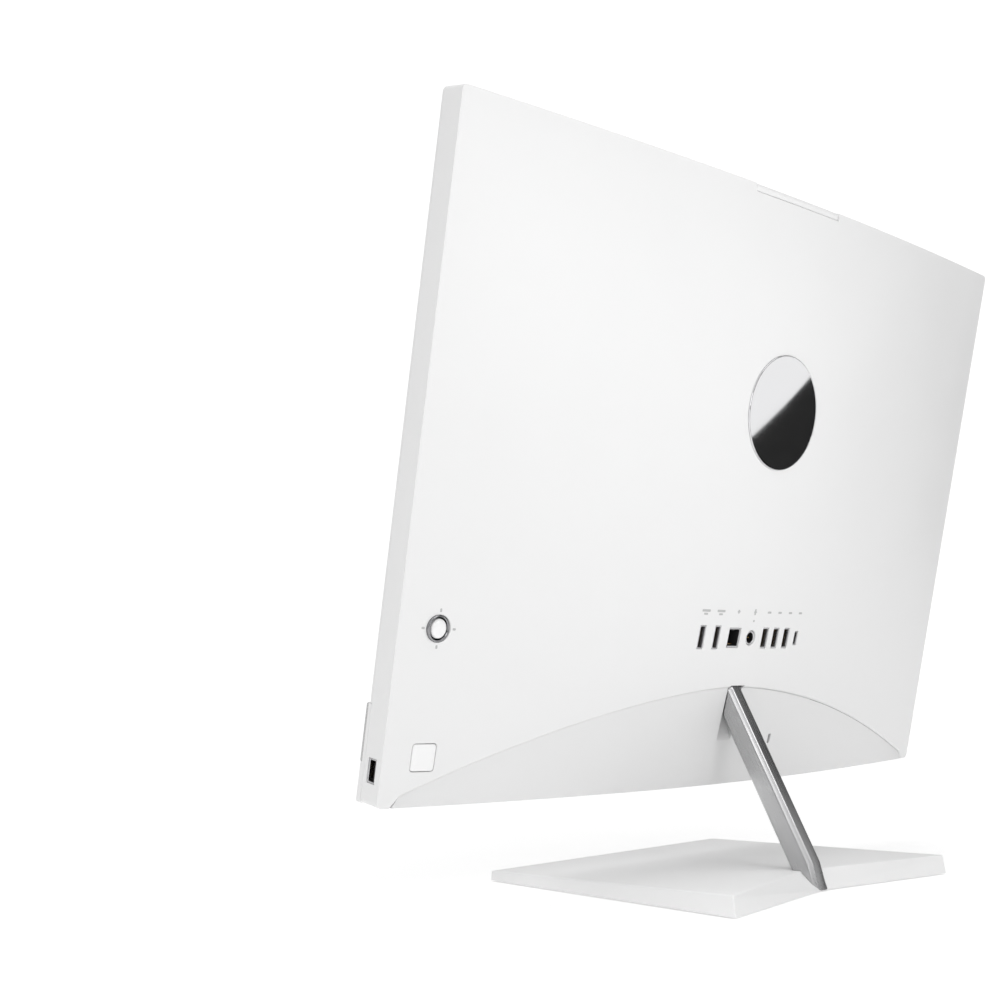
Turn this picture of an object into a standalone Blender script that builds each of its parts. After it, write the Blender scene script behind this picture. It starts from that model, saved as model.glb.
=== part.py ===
"""White all-in-one desktop computer on a leaning one-arm stand.

World frame: metres, +Z up, the screen faces -Y, +X is to the right of someone who sits in front
of the screen.  The origin lies on the table under the middle of the base.

The display is modelled in its own panel frame, which leans back by TILT_DEG:
  x  along the width, 0 in the middle
  d  depth, 0 at the ridge where the side walls meet the back, positive towards the rear
  h  height up the panel, 0 at its lower edge
Sizes are written in millimetres and turned into metres by MM.
"""
import math

import bmesh
import bpy
from mathutils import Matrix, Vector

MM = 0.001
GAP = 0.3                     # clearance between neighbouring pieces

# Display
TILT_DEG = 10.4               # lean of the panel at rest
PANEL_W = 613.0
PANEL_H = 420.7
PANEL_Y = -26.5               # world place of the ridge's lower edge
PANEL_Z = 71.2
CORNER_R = 6.0
WALL = 2.4
RIM_D = -15.3                 # front rim of the rear cover
BEZEL_FRONT_D = -17.2
CHIN_FRONT_D = -20.3
CHIN_H = 61.6
RIDGE_R = 3.0
EDGE_CROWN = 18.7             # how far the top and bottom edges bow out at the middle
EDGE_POWER = 1.9
FIELD_CROWN = 13.3            # how much further the middle of the back bows out
FIELD_H = 216.0               # height of the fullest line of the back
FIELD_POWER = 2.5
CROWN_HALF_W = 305.0          # the bow has died out this far from the middle

# Arch-shaped lower cover
ARCH_TOP_H = 74.3
ARCH_DROP = 67.3
ARCH_HALF_W = 290.0
ARCH_POWER = 1.7
ARCH_STEP = 1.2               # the lower cover sits this far inside the rear cover
ARCH_FRONT_D = -12.5          # in front of this the rear cover's rim runs on under the arch

# Screen
ACTIVE_W = 597.9
ACTIVE_H = 336.3
ACTIVE_TOP_H = 413.2

# Tilt hinge and arm
PIVOT_D = 16.8
PIVOT_H = 77.2
TILT_MIN_DEG = -5.0
TILT_MAX_DEG = 20.0
ARM_LEAN_DEG = 29.5
ARM_W = 15.0
ARM_REAR = 5.5                # rear face, measured square from the pivot
ARM_FRONT = 12.6              # front face, measured square from the pivot
ARM_CHAMFER = 3.0
ARM_FOOT_Z = 5.0              # the foot's front edge in the base
ARM_BREAK_Z = 20.0            # below this the rear face runs down to the heel
SHAFT_R = 3.0
NUT_R = 6.4

# Base
BASE_W = 262.0
BASE_FRONT_Y = -108.0
BASE_REAR_Y = 108.2
BASE_BOTTOM_Z = 1.0
BASE_TOP_Z = 11.2             # height of the sloping top over the origin
BASE_SLOPE = 0.0315
NOTCH_BOTTOM_Y = 86.5
NOTCH_TOP_Y = 71.0
BASE_REAR_TOP_Y = 105.6
SCREW_Y = 73.5                # two screws hold the arm's foot from below
SCREW_X = (-3.7, 3.7)
SCREW_R = 1.6
SCREW_HEAD_R = 3.2
FOOT_R = 9.0
FOOT_T = 0.7
FEET = [(112.0, -92.0), (-112.0, -92.0), (112.0, 88.0), (-112.0, 88.0)]

# Rear sockets: name, x, cover cut-out (width, height), cavity (width, height), cavity depth
SOCKET_H = 111.2
SOCKETS = [
    ("hdmi_socket_1", 52.6, (6.8, 17.0), (5.2, 14.8), 11.0),
    ("hdmi_socket_2", 36.2, (6.8, 17.0), (5.2, 14.8), 11.0),
    ("lan_socket", 16.1, (14.0, 14.4), (11.8, 12.2), 12.0),
    ("usb_a_socket_1", -21.3, (7.4, 15.4), (5.4, 13.0), 12.0),
    ("usb_a_socket_2", -34.9, (7.4, 15.4), (5.4, 13.0), 12.0),
    ("usb_a_socket_3", -48.9, (7.4, 15.4), (5.4, 13.0), 12.0),
    ("usb_c_socket", -62.7, (4.8, 10.8), (2.8, 8.6), 7.0),
]
DC_X = -3.6
DC_R = 5.2
DC_CAVITY_R = 3.9
DC_DEPTH = 9.0
IO_BOARD_REAR_D = 13.2        # the rear sockets stand on this face
SOCKET_SUNK = 0.9             # how far a socket's mouth lies inside the cover
SIDE_USB_H = 21.5
SIDE_USB_D = -8.5
LOCK_X = -59.5
LOCK_H = 32.5

# Controls on the rear
JOY_X = 278.4
JOY_H = 110.7
JOY_D = -3.3                  # centre of the joystick's two rocking axes
JOY_RING_R = 8.9
JOY_RING_IN_R = 7.1
JOY_CAP_R = 6.1
BUTTON_X = 277.0
BUTTON_H = 31.0
BUTTON_HALF = 8.45
BUTTON_R = 2.6

# Badge and camera
BADGE_H = 272.2
BADGE_R = 40.1
BADGE_RECESS = 1.2
CAM_HALF_W = 49.8
CAM_H = 413.9
CAM_LENS_H = 406.0
CAM_FRONT_D = -6.8

# Cooling fan
FAN_X = 209.0
FAN_H = 224.0
FAN_HALF = 44.0
FAN_ROTOR_R = 33.0
FAN_BLADES = 11

# Heat pipe and fins
PIPE_R = 1.8
PIPE_D = 4.1
PIPE_LOW_H = 200.0
PIPE_HIGH_H = 277.0
FIN_COUNT = 19
FIN_PITCH = 4.0
FIN_W = 1.2
FIN_START_X = 172.0

THROUGH_D = 60.0              # cutters reach this far behind the display

WHITE = (0.86, 0.86, 0.85)
LIGHT_GREY = (0.74, 0.74, 0.74)
BLACK = (0.02, 0.02, 0.022)
STEEL = (0.55, 0.56, 0.57)
SILVER = (0.78, 0.78, 0.79)
BOARD_GREEN = (0.03, 0.16, 0.08)
COPPER = (0.72, 0.36, 0.22)
RUBBER = (0.05, 0.05, 0.05)


def clear_scene():
    for obj in list(bpy.data.objects):
        bpy.data.objects.remove(obj, do_unlink=True)


def make_material(name, color, roughness, metallic):
    material = bpy.data.materials.new(name)
    material.use_nodes = True
    shader = material.node_tree.nodes["Principled BSDF"]
    shader.inputs["Base Color"].default_value = (*color, 1.0)
    shader.inputs["Roughness"].default_value = roughness
    shader.inputs["Metallic"].default_value = metallic
    return material


def add_object(name, bm, parent=None, color=WHITE, roughness=0.5, metallic=0.0, smooth_deg=30):
    """Turn a bmesh in millimetres into a named object with its own material."""
    bmesh.ops.scale(bm, vec=(MM, MM, MM), verts=bm.verts)
    bmesh.ops.recalc_face_normals(bm, faces=bm.faces)
    mesh = bpy.data.meshes.new(name)
    bm.to_mesh(mesh)
    bm.free()
    mesh.shade_smooth()
    mesh.set_sharp_from_angle(angle=math.radians(smooth_deg))
    mesh.materials.append(make_material(name, color, roughness, metallic))
    obj = bpy.data.objects.new(name, mesh)
    bpy.context.collection.objects.link(obj)
    obj.parent = parent
    return obj


def add_empty(name, location, rotation=(0.0, 0.0, 0.0), parent=None):
    """An empty at a place given in millimetres."""
    empty = bpy.data.objects.new(name, None)
    bpy.context.collection.objects.link(empty)
    empty.location = Vector(location) * MM
    empty.rotation_euler = rotation
    empty.parent = parent
    return empty


def move(obj, x, y, z):
    """Place an object's origin, in millimetres of its parent's frame."""
    obj.location = Vector((x, y, z)) * MM
    return obj


def boolean(obj, cutter, operation="DIFFERENCE"):
    """Cut or join with an object that itself stays out of the model."""
    cutter.hide_render = True
    cutter.display_type = "WIRE"
    modifier = obj.modifiers.new(operation.lower(), "BOOLEAN")
    modifier.operation = operation
    modifier.solver = "EXACT"
    modifier.object = cutter


def bevel_by_weight(obj, width, segments):
    modifier = obj.modifiers.new("bevel", "BEVEL")
    modifier.limit_method = "WEIGHT"
    modifier.width = width * MM
    modifier.segments = segments


def bevel_by_angle(obj, width, segments, angle_deg=40):
    modifier = obj.modifiers.new("bevel", "BEVEL")
    modifier.limit_method = "ANGLE"
    modifier.angle_limit = math.radians(angle_deg)
    modifier.width = width * MM
    modifier.segments = segments


def new_bmesh():
    """An empty bmesh that can hold bevel weights on its edges."""
    bm = bmesh.new()
    bm.edges.layers.float.new("bevel_weight_edge")
    return bm


def mark_bevel(bm, edges):
    layer = bm.edges.layers.float["bevel_weight_edge"]
    for edge in edges:
        edge[layer] = 1.0


# Basic solids, all as bmesh in millimetres.

def box(low, high, bm=None):
    bm = bm or new_bmesh()
    size = [b - a for a, b in zip(low, high)]
    middle = [(a + b) / 2 for a, b in zip(low, high)]
    matrix = Matrix.Translation(middle) @ Matrix.Diagonal((*size, 1.0))
    bmesh.ops.create_cube(bm, size=1.0, matrix=matrix)
    return bm


def loft(rings, bm=None):
    """Closed solid through rings of points that all have the same count."""
    bm = bm or new_bmesh()
    loops = [[bm.verts.new(p) for p in ring] for ring in rings]
    count = len(loops[0])
    for lower, upper in zip(loops, loops[1:]):
        for i in range(count):
            j = (i + 1) % count
            bm.faces.new((lower[i], lower[j], upper[j], upper[i]))
    bm.faces.new(list(reversed(loops[0])))
    bm.faces.new(loops[-1])
    return bm


def prism(outline, place, start, end, bm=None):
    """Extrude a flat outline; place(a, b, t) gives the 3-D point of outline point (a, b)."""
    rings = [[place(a, b, t) for a, b in outline] for t in (start, end)]
    return loft(rings, bm)


def along_x(a, b, t):
    return (t, a, b)


def along_d(a, b, t):
    return (a, t, b)


def along_h(a, b, t):
    return (a, b, t)


def circle(radius, segments, center=(0.0, 0.0), start_deg=0.0):
    points = []
    for i in range(segments):
        angle = math.radians(start_deg) + 2 * math.pi * i / segments
        points.append((center[0] + radius * math.cos(angle), center[1] + radius * math.sin(angle)))
    return points


def rounded_rectangle(half_w, half_h, radius, corner_segments=3, center=(0.0, 0.0)):
    points = []
    corners = [(1, 1, 0), (-1, 1, 90), (-1, -1, 180), (1, -1, 270)]
    for sx, sy, start in corners:
        cx = center[0] + sx * (half_w - radius)
        cy = center[1] + sy * (half_h - radius)
        for k in range(corner_segments + 1):
            angle = math.radians(start + 90 * k / corner_segments)
            points.append((cx + radius * math.cos(angle), cy + radius * math.sin(angle)))
    return points


def lathe(profile, place, segments=24):
    """Solid of revolution: profile holds (radius, position along the axis), axis at both ends."""
    bm = new_bmesh()
    rings = []
    for radius, t in profile:
        if radius == 0:
            rings.append([bm.verts.new(place(0.0, 0.0, t))])
        else:
            rings.append([bm.verts.new(place(a, b, t)) for a, b in circle(radius, segments)])
    for first, second in zip(rings, rings[1:]):
        for i in range(segments):
            j = (i + 1) % segments
            corners = [first[i % len(first)], first[j % len(first)],
                       second[j % len(second)], second[i % len(second)]]
            unique = list(dict.fromkeys(corners))
            bm.faces.new(unique)
    return bm


def tube_ring(inner_r, outer_r, start, end, place, segments=24):
    """A plain ring or washer."""
    bm = new_bmesh()
    rings = []
    for radius, t in ((inner_r, start), (outer_r, start), (outer_r, end), (inner_r, end)):
        rings.append([bm.verts.new(place(a, b, t)) for a, b in circle(radius, segments)])
    for k in range(4):
        first, second = rings[k], rings[(k + 1) % 4]
        for i in range(segments):
            j = (i + 1) % segments
            bm.faces.new((first[i], first[j], second[j], second[i]))
    return bm


def open_box(half_w, half_h, wall_w, wall_h, start, end, floor_t, place):
    """A rectangular sleeve closed at its start: the shell of a socket."""
    outer = [(half_w, half_h), (-half_w, half_h), (-half_w, -half_h), (half_w, -half_h)]
    inner = [(wall_w, wall_h), (-wall_w, wall_h), (-wall_w, -wall_h), (wall_w, -wall_h)]
    rings = [(outer, start), (outer, end), (inner, end), (inner, floor_t)]
    return loft([[place(a, b, t) for a, b in ring] for ring, t in rings])


# Shape of the back

def edge_crown(x):
    """How far the back's top and bottom edges lie behind the ridge of the side walls."""
    return EDGE_CROWN * (1.0 - min(abs(x) / CROWN_HALF_W, 1.0) ** EDGE_POWER)


def back_depth(x, h):
    """Depth d of the rear cover's outer surface."""
    span = FIELD_H if h < FIELD_H else PANEL_H - FIELD_H
    vertical = 1.0 - min(abs(h - FIELD_H) / span, 1.0) ** FIELD_POWER
    across = 1.0 - min(abs(x) / CROWN_HALF_W, 1.0) ** 2
    return edge_crown(x) + FIELD_CROWN * across * vertical


def arch_height(x):
    """Height of the arch line that parts the lower cover from the rear cover."""
    return ARCH_TOP_H - ARCH_DROP * min(abs(x) / ARCH_HALF_W, 1.0) ** ARCH_POWER


def lower_depth(x, h):
    """Depth of the lower cover: straight from the arch line down to the bottom edge."""
    top_h = arch_height(x)
    top_d = back_depth(x, top_h) - ARCH_STEP
    share = min(h / top_h, 1.3)
    return edge_crown(x) + (top_d - edge_crown(x)) * share


def spread(low, high, steps):
    return [low + (high - low) * i / steps for i in range(steps + 1)]


def shell_blank(depth, inset, front_d, h_lines, x_steps=22):
    """Closed block under a curved back; its outline is the panel's, drawn in by inset.

    Also returns the edges of the ridge, where the side walls meet the back.
    """
    bm = new_bmesh()
    half = PANEL_W / 2
    x_lines = [-half] + spread(-half + CORNER_R, half - CORNER_R, x_steps) + [half]
    scale_x = (half - inset) / half
    scale_h = (PANEL_H - 2 * inset) / PANEL_H
    corner_cut = CORNER_R * (1 - math.cos(math.radians(45)))
    grid = []
    front = []
    for i, x in enumerate(x_lines):
        column = []
        front_column = []
        for j, h in enumerate(h_lines):
            px = x * scale_x
            ph = inset + h * scale_h
            at_corner = i in (0, len(x_lines) - 1) and j in (0, len(h_lines) - 1)
            if at_corner:
                px -= math.copysign(corner_cut, px)
                ph += corner_cut if j == 0 else -corner_cut
            column.append(bm.verts.new((px, depth(x, h) - inset, ph)))
            front_column.append((px, front_d, ph))
        grid.append(column)
        front.append(front_column)
    rim = perimeter(grid)
    front_rim = [bm.verts.new(p) for p in perimeter(front)]
    for i in range(len(grid) - 1):
        for j in range(len(h_lines) - 1):
            bm.faces.new((grid[i][j], grid[i + 1][j], grid[i + 1][j + 1], grid[i][j + 1]))
    count = len(rim)
    for k in range(count):
        m = (k + 1) % count
        bm.faces.new((rim[k], rim[m], front_rim[m], front_rim[k]))
    bm.faces.new(front_rim)
    ridge = [bm.edges.get((rim[k], rim[(k + 1) % count])) for k in range(count)]
    return bm, ridge


def perimeter(grid):
    """The outer loop of a grid of columns, in order."""
    bottom = [column[0] for column in grid]
    right = grid[-1][1:]
    top = [column[-1] for column in reversed(grid[:-1])]
    left = list(reversed(grid[0][1:-1]))
    return bottom + right + top + left


def arch_outline(shrink):
    """Outline of the lower cover in x and h; its foot lies below the panel's lower edge."""
    half = ARCH_HALF_W + 2.0 - shrink
    points = [(-half, -5.0)]
    for x in spread(-half, half, 24):
        points.append((x, arch_height(x) - shrink))
    points.append((half, -5.0))
    return list(reversed(points))


def sweep_outline(clearance):
    """Side outline, in d and h, of all that the arm sweeps as the display tilts."""
    swing_low = math.radians(ARM_LEAN_DEG + TILT_MIN_DEG)
    swing_high = math.radians(ARM_LEAN_DEG + TILT_MAX_DEG)
    reach = 60.0

    def point(swing, along, square):
        d = PIVOT_D + along * math.sin(swing) + square * math.cos(swing)
        h = PIVOT_H - along * math.cos(swing) + square * math.sin(swing)
        return (d, h)

    return [
        point(swing_high, 0.0, ARM_REAR + clearance),
        point(swing_low, -12.0, -ARM_FRONT - clearance),
        point(swing_low, reach, -ARM_FRONT - clearance),
        point(swing_high, reach, ARM_REAR + clearance),
    ]


# Stand

def arm_point(height, square):
    """World y of the arm's side line at a height; square is measured from the pivot."""
    lean = math.radians(ARM_LEAN_DEG)
    pivot = tilt_pivot()
    along = (pivot[2] + square * math.sin(lean) - height) / math.cos(lean)
    return pivot[1] + along * math.sin(lean) + square * math.cos(lean)


def tilt_pivot():
    tilt = math.radians(TILT_DEG)
    y = PANEL_Y + PIVOT_H * math.sin(tilt) + PIVOT_D * math.cos(tilt)
    z = PANEL_Z + PIVOT_H * math.cos(tilt) - PIVOT_D * math.sin(tilt)
    return (0.0, y, z)


def arm_ring(front, rear, half_w, chamfer):
    """Eight-sided section of the arm between a front and a rear point, each (y, z)."""
    length = math.hypot(rear[0] - front[0], rear[1] - front[1])
    share = chamfer / length

    def between(t):
        return (front[0] + (rear[0] - front[0]) * t, front[1] + (rear[1] - front[1]) * t)

    section = [(half_w - chamfer, 0.0), (half_w, share), (half_w, 1 - share), (half_w - chamfer, 1.0)]
    section += [(-x, t) for x, t in reversed(section)]
    return [(x, *between(t)) for x, t in section]


def arm_rings(grow):
    """Sections of the arm from its foot to just under the hinge, in world millimetres."""
    half_w = ARM_W / 2 + grow
    front = ARM_FRONT + grow
    rear = ARM_REAR + grow
    pivot = tilt_pivot()
    lean = math.radians(ARM_LEAN_DEG)
    heel_z = BASE_BOTTOM_Z - grow
    foot_z = ARM_FOOT_Z - grow
    heel_y = NOTCH_BOTTOM_Y + 0.2 + grow

    def near_pivot(along, square):
        y = pivot[1] + along * math.sin(lean) + square * math.cos(lean)
        z = pivot[2] - along * math.cos(lean) + square * math.sin(lean)
        return (y, z)

    stations = [
        ((arm_point(foot_z, -front), foot_z), (heel_y, heel_z)),
        ((arm_point(14.0, -front), 14.0), (arm_point(ARM_BREAK_Z, rear), ARM_BREAK_Z)),
        (near_pivot(9.0, -front), near_pivot(9.0, rear)),
        (near_pivot(0.0, -5.0), near_pivot(0.0, 5.0)),
    ]
    rings = []
    for index, (front_point, rear_point) in enumerate(stations):
        chamfer = 0.6 if index == len(stations) - 1 else ARM_CHAMFER
        rings.append(arm_ring(front_point, rear_point, half_w, chamfer))
    return rings


def make_arm():
    pivot = tilt_pivot()
    rings = arm_rings(0.0)
    bm = loft(rings)
    arm = add_object("stand_arm", bm, color=SILVER, roughness=0.32, metallic=1.0)
    center = (pivot[1], pivot[2])
    knuckle = prism(circle(ARM_REAR, 24, center), along_x, -ARM_W / 2 + 0.2, ARM_W / 2 - 0.2)
    boolean(arm, add_object("arm_knuckle_shape", knuckle), "UNION")
    bore = prism(circle(SHAFT_R + GAP, 24, center), along_x, -20, 20)
    boolean(arm, add_object("arm_bore_cutter", bore))
    for index, x in enumerate(SCREW_X, start=1):
        hole_r = SCREW_R + GAP
        hole = lathe([(0, 0.0), (hole_r, 0.0), (hole_r, 16.0), (0, 16.0)], along_h, 16)
        cutter = add_object(f"arm_screw_cutter_{index}", hole)
        boolean(arm, move(cutter, x, SCREW_Y, 0.5))


def make_base():
    half = BASE_W / 2

    def top_z(y):
        return BASE_TOP_Z + BASE_SLOPE * y

    low = [(-half, BASE_FRONT_Y), (half, BASE_FRONT_Y), (half, BASE_REAR_Y),
           (0.0, NOTCH_BOTTOM_Y), (-half, BASE_REAR_Y)]
    high = [(-half + 0.6, BASE_FRONT_Y + 0.2), (half - 0.6, BASE_FRONT_Y + 0.2),
            (half - 0.8, BASE_REAR_TOP_Y), (0.0, NOTCH_TOP_Y), (-half + 0.8, BASE_REAR_TOP_Y)]
    bm = new_bmesh()
    bottom = [bm.verts.new((x, y, BASE_BOTTOM_Z)) for x, y in low]
    top = [bm.verts.new((x, y, top_z(y))) for x, y in high]
    bm.faces.new(list(reversed(bottom)))
    bm.faces.new(top)
    for i in range(5):
        j = (i + 1) % 5
        bm.faces.new((bottom[i], bottom[j], top[j], top[i]))
    mark_bevel(bm, [bm.edges.get((top[i], top[(i + 1) % 5])) for i in range(5)])
    mark_bevel(bm, [bm.edges.get((bottom[i], top[i])) for i in range(5) if i != 3])
    base = add_object("base_plate", bm, color=SILVER, roughness=0.4, metallic=0.9)
    bevel_by_weight(base, 1.2, 2)
    boolean(base, add_object("arm_foot_cutter", loft(arm_rings(GAP))))
    for index, x in enumerate(SCREW_X, start=1):
        pocket_r = SCREW_HEAD_R + GAP
        hole_r = SCREW_R + GAP
        profile = [(0, -2), (pocket_r, -2), (pocket_r, 2.4), (hole_r, 2.4), (hole_r, 10), (0, 10)]
        hole = lathe(profile, along_h, 16)
        cutter = add_object(f"base_screw_cutter_{index}", hole)
        boolean(base, move(cutter, x, SCREW_Y, 0.0))


def make_screws():
    for index, x in enumerate(SCREW_X, start=1):
        profile = [(0, 1.1), (SCREW_HEAD_R, 1.1), (SCREW_HEAD_R, 2.1), (SCREW_R, 2.1),
                   (SCREW_R, 15.0), (0, 15.0)]
        bm = lathe(profile, along_h, 16)
        screw = add_object(f"arm_screw_{index}", bm, color=STEEL, roughness=0.3, metallic=1.0)
        move(screw, x, SCREW_Y, 0.0)


def make_feet():
    for index, (x, y) in enumerate(FEET, start=1):
        bm = lathe([(0, 0.0), (FOOT_R, 0.0), (FOOT_R, FOOT_T), (0, FOOT_T)], along_h, 24)
        foot = add_object(f"base_foot_{index}", bm, color=RUBBER, roughness=0.9)
        move(foot, x, y, 0.0)


def make_hinge_shaft():
    """Shaft, friction washers and nuts: all turn with the arm."""
    pivot = tilt_pivot()
    shaft = prism(circle(SHAFT_R, 20), along_x, -19.0, 19.0)
    move(add_object("hinge_shaft", shaft, color=STEEL, roughness=0.3, metallic=1.0), *pivot)
    for side, sign in (("left", -1), ("right", 1)):
        washer = tube_ring(SHAFT_R + GAP, 6.0, sign * 11.8, sign * 13.8, along_x, 20)
        move(add_object(f"friction_washer_{side}", washer, color=STEEL, metallic=1.0), *pivot)
        hole_r = (SHAFT_R + GAP) / math.cos(math.radians(30))
        nut = tube_ring(hole_r, NUT_R, sign * 14.1, sign * 18.1, along_x, 6)
        move(add_object(f"hinge_nut_{side}", nut, color=STEEL, metallic=1.0), *pivot)


# Display covers

def make_rear_cover(panel):
    h_lines = [0.0, CORNER_R] + spread(30.0, PANEL_H - 30.0, 11) + [PANEL_H - CORNER_R, PANEL_H]
    bm, ridge = shell_blank(back_depth, 0.0, RIM_D, h_lines)
    mark_bevel(bm, ridge)
    cover = add_object("rear_cover", bm, panel, WHITE, 0.35)
    bevel_by_weight(cover, RIDGE_R, 3)
    inner, _ = shell_blank(back_depth, WALL, RIM_D - 3, h_lines)
    boolean(cover, add_object("rear_inner_shape", inner, panel))
    arch = prism(arch_outline(0.0), along_d, ARCH_FRONT_D, THROUGH_D)
    boolean(cover, add_object("arch_cutter", arch, panel))
    boolean(cover, add_object("rear_opening_cutters", rear_cutters(), panel))
    sweep = prism(sweep_outline(0.4), along_x, -ARM_W / 2 - 0.8, ARM_W / 2 + 0.8)
    boolean(cover, add_object("arm_sweep_cutter", sweep, panel))


def rear_cutters():
    """Every hole through the rear cover, as bodies that don't touch each other."""
    bm = new_bmesh()
    camera_low = (-CAM_HALF_W - 1.0, -8.0, CAM_H - 0.9)
    camera_high = (CAM_HALF_W + 1.0, THROUGH_D, PANEL_H + 10.0)
    box(camera_low, camera_high, bm)
    for _, x, (width, height), _, _ in SOCKETS:
        low = (x - width / 2, 14.0, SOCKET_H - height / 2)
        high = (x + width / 2, THROUGH_D, SOCKET_H + height / 2)
        box(low, high, bm)
    prism(circle(DC_R + 0.4, 20, (DC_X, SOCKET_H)), along_d, 14.0, THROUGH_D, bm)
    prism(circle(JOY_RING_R + 0.3, 28, (JOY_X, JOY_H)), along_d, -1.0, 40.0, bm)
    hole = rounded_rectangle(BUTTON_HALF + 0.5, BUTTON_HALF + 0.5, BUTTON_R + 0.4, 3,
                             (BUTTON_X, BUTTON_H))
    prism(hole, along_d, -1.0, 40.0, bm)
    badge_floor = back_depth(0.0, BADGE_H) - BADGE_RECESS
    prism(circle(BADGE_R + GAP, 40, (0.0, BADGE_H)), along_d, badge_floor, THROUGH_D, bm)
    side_low = (PANEL_W / 2 - 6.0, SIDE_USB_D - 3.7, SIDE_USB_H - 7.7)
    side_high = (PANEL_W / 2 + 6.0, SIDE_USB_D + 3.7, SIDE_USB_H + 7.7)
    box(side_low, side_high, bm)
    return bm


def make_lower_cover(panel):
    h_lines = [0.0, CORNER_R] + spread(22.0, 100.0, 5) + [PANEL_H]
    bm, ridge = shell_blank(lower_depth, 0.0, RIM_D, h_lines)
    mark_bevel(bm, ridge)
    cover = add_object("lower_cover", bm, panel, WHITE, 0.4)
    bevel_by_weight(cover, RIDGE_R, 3)
    inner, _ = shell_blank(lower_depth, WALL, RIM_D - 3, h_lines)
    boolean(cover, add_object("lower_inner_shape", inner, panel))
    arch = prism(arch_outline(GAP), along_d, ARCH_FRONT_D + GAP, THROUGH_D)
    boolean(cover, add_object("arch_keeper", arch, panel), "INTERSECT")
    sweep = prism(sweep_outline(0.8), along_x, -ARM_W / 2 - 0.8, ARM_W / 2 + 0.8)
    boolean(cover, add_object("arm_slot_cutter", sweep, panel))
    lock = prism(rounded_rectangle(1.6, 3.6, 0.8, 2, (LOCK_X, LOCK_H)), along_d, 5.0, THROUGH_D)
    boolean(cover, add_object("lock_slot_cutter", lock, panel))


def make_front(panel):
    """Bezel ring, speaker bar and screen."""
    half = PANEL_W / 2
    ring_low = CHIN_H + GAP
    outline = [(half, ring_low), (half, PANEL_H - 5.0), (half - 1.5, PANEL_H - 1.5),
               (half - 5.0, PANEL_H)]
    outline += [(-x, h) for x, h in reversed(outline)]
    bezel = add_object("front_bezel", prism(outline, along_d, BEZEL_FRONT_D, RIM_D - GAP), panel,
                       BLACK, 0.35)
    low = (-ACTIVE_W / 2, -30.0, ACTIVE_TOP_H - ACTIVE_H)
    high = (ACTIVE_W / 2, 0.0, ACTIVE_TOP_H)
    boolean(bezel, add_object("screen_cutter", box(low, high), panel))
    screen = box((-301.6, RIM_D, 64.5), (301.6, -9.8, 416.2))
    add_object("lcd_panel", screen, panel, BLACK, 0.1)
    bar = box((-half, CHIN_FRONT_D, 0.0), (half, RIM_D - GAP, CHIN_H))
    chin = add_object("speaker_bar", bar, panel, LIGHT_GREY, 0.8)
    bevel_by_angle(chin, 1.4, 2)


def make_badge(panel):
    """Plain round medallion, slightly domed."""
    seat = back_depth(0.0, BADGE_H) - BADGE_RECESS + GAP
    profile = [(0, 0.0), (BADGE_R, 0.0), (BADGE_R, 0.9), (BADGE_R - 1.2, 1.3), (0, 1.9)]
    bm = lathe(profile, along_d, 40)
    move(add_object("badge_disc", bm, panel, SILVER, 0.08, 1.0), 0.0, seat, BADGE_H)


# Inside the display

def make_chassis(panel):
    add_object("chassis_plate", box((-296.0, -8.6, 66.0), (296.0, -7.4, 408.0)), panel,
               STEEL, 0.45, 1.0)
    for side, sign in (("left", -1), ("right", 1)):
        outline = [(9.0, -7.1), (33.0, -7.1), (33.0, -5.1), (11.5, -5.1), (11.5, 22.0), (9.0, 22.0)]
        outline = [(sign * x, d) for x, d in outline]
        bm = prism(outline, along_h, 68.0, 88.0)
        bracket = add_object(f"hinge_bracket_{side}", bm, panel, STEEL, 0.4, 1.0)
        hole = prism(circle(SHAFT_R + GAP, 20, (PIVOT_D, PIVOT_H)), along_x, sign * 5.0, sign * 20.0)
        boolean(bracket, add_object(f"bracket_hole_{side}", hole, panel))
    for side, sign in (("left", -1), ("right", 1)):
        edges = sorted((sign * 160.0, sign * 255.0))
        speaker = box((edges[0], -15.2, 6.0), (edges[1], -4.4, 56.0))
        speaker_object = add_object(f"speaker_{side}", speaker, panel, BLACK, 0.6)
        bevel_by_angle(speaker_object, 3.0, 2)


def make_boards(panel):
    boards = {
        "mainboard": ((-150.0, -3.0, 132.0), (140.0, -1.4, 300.0)),
        "io_board": ((-74.0, IO_BOARD_REAR_D - 1.6, 98.0), (64.0, IO_BOARD_REAR_D, 124.4)),
        "control_board": ((266.0, -6.8, 20.0), (288.0, -5.6, 122.0)),
    }
    for name, (low, high) in boards.items():
        add_object(name, box(low, high), panel, BOARD_GREEN, 0.5)
    chips = {
        "memory_module_1": ((-120.0, -1.1, 150.0), (-52.4, 2.7, 180.0)),
        "memory_module_2": ((-120.0, -1.1, 186.0), (-52.4, 2.7, 216.0)),
        "ssd_module": ((-120.0, -1.1, 236.0), (-40.0, 1.3, 258.0)),
        "wifi_card": ((84.0, -1.1, 150.0), (114.0, 1.3, 172.0)),
        "power_switch": ((BUTTON_X - 3.0, -5.3, BUTTON_H - 3.0), (BUTTON_X + 3.0, -3.9, BUTTON_H + 3.0)),
    }
    for name, (low, high) in chips.items():
        add_object(name, box(low, high), panel, BLACK, 0.5)


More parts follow.
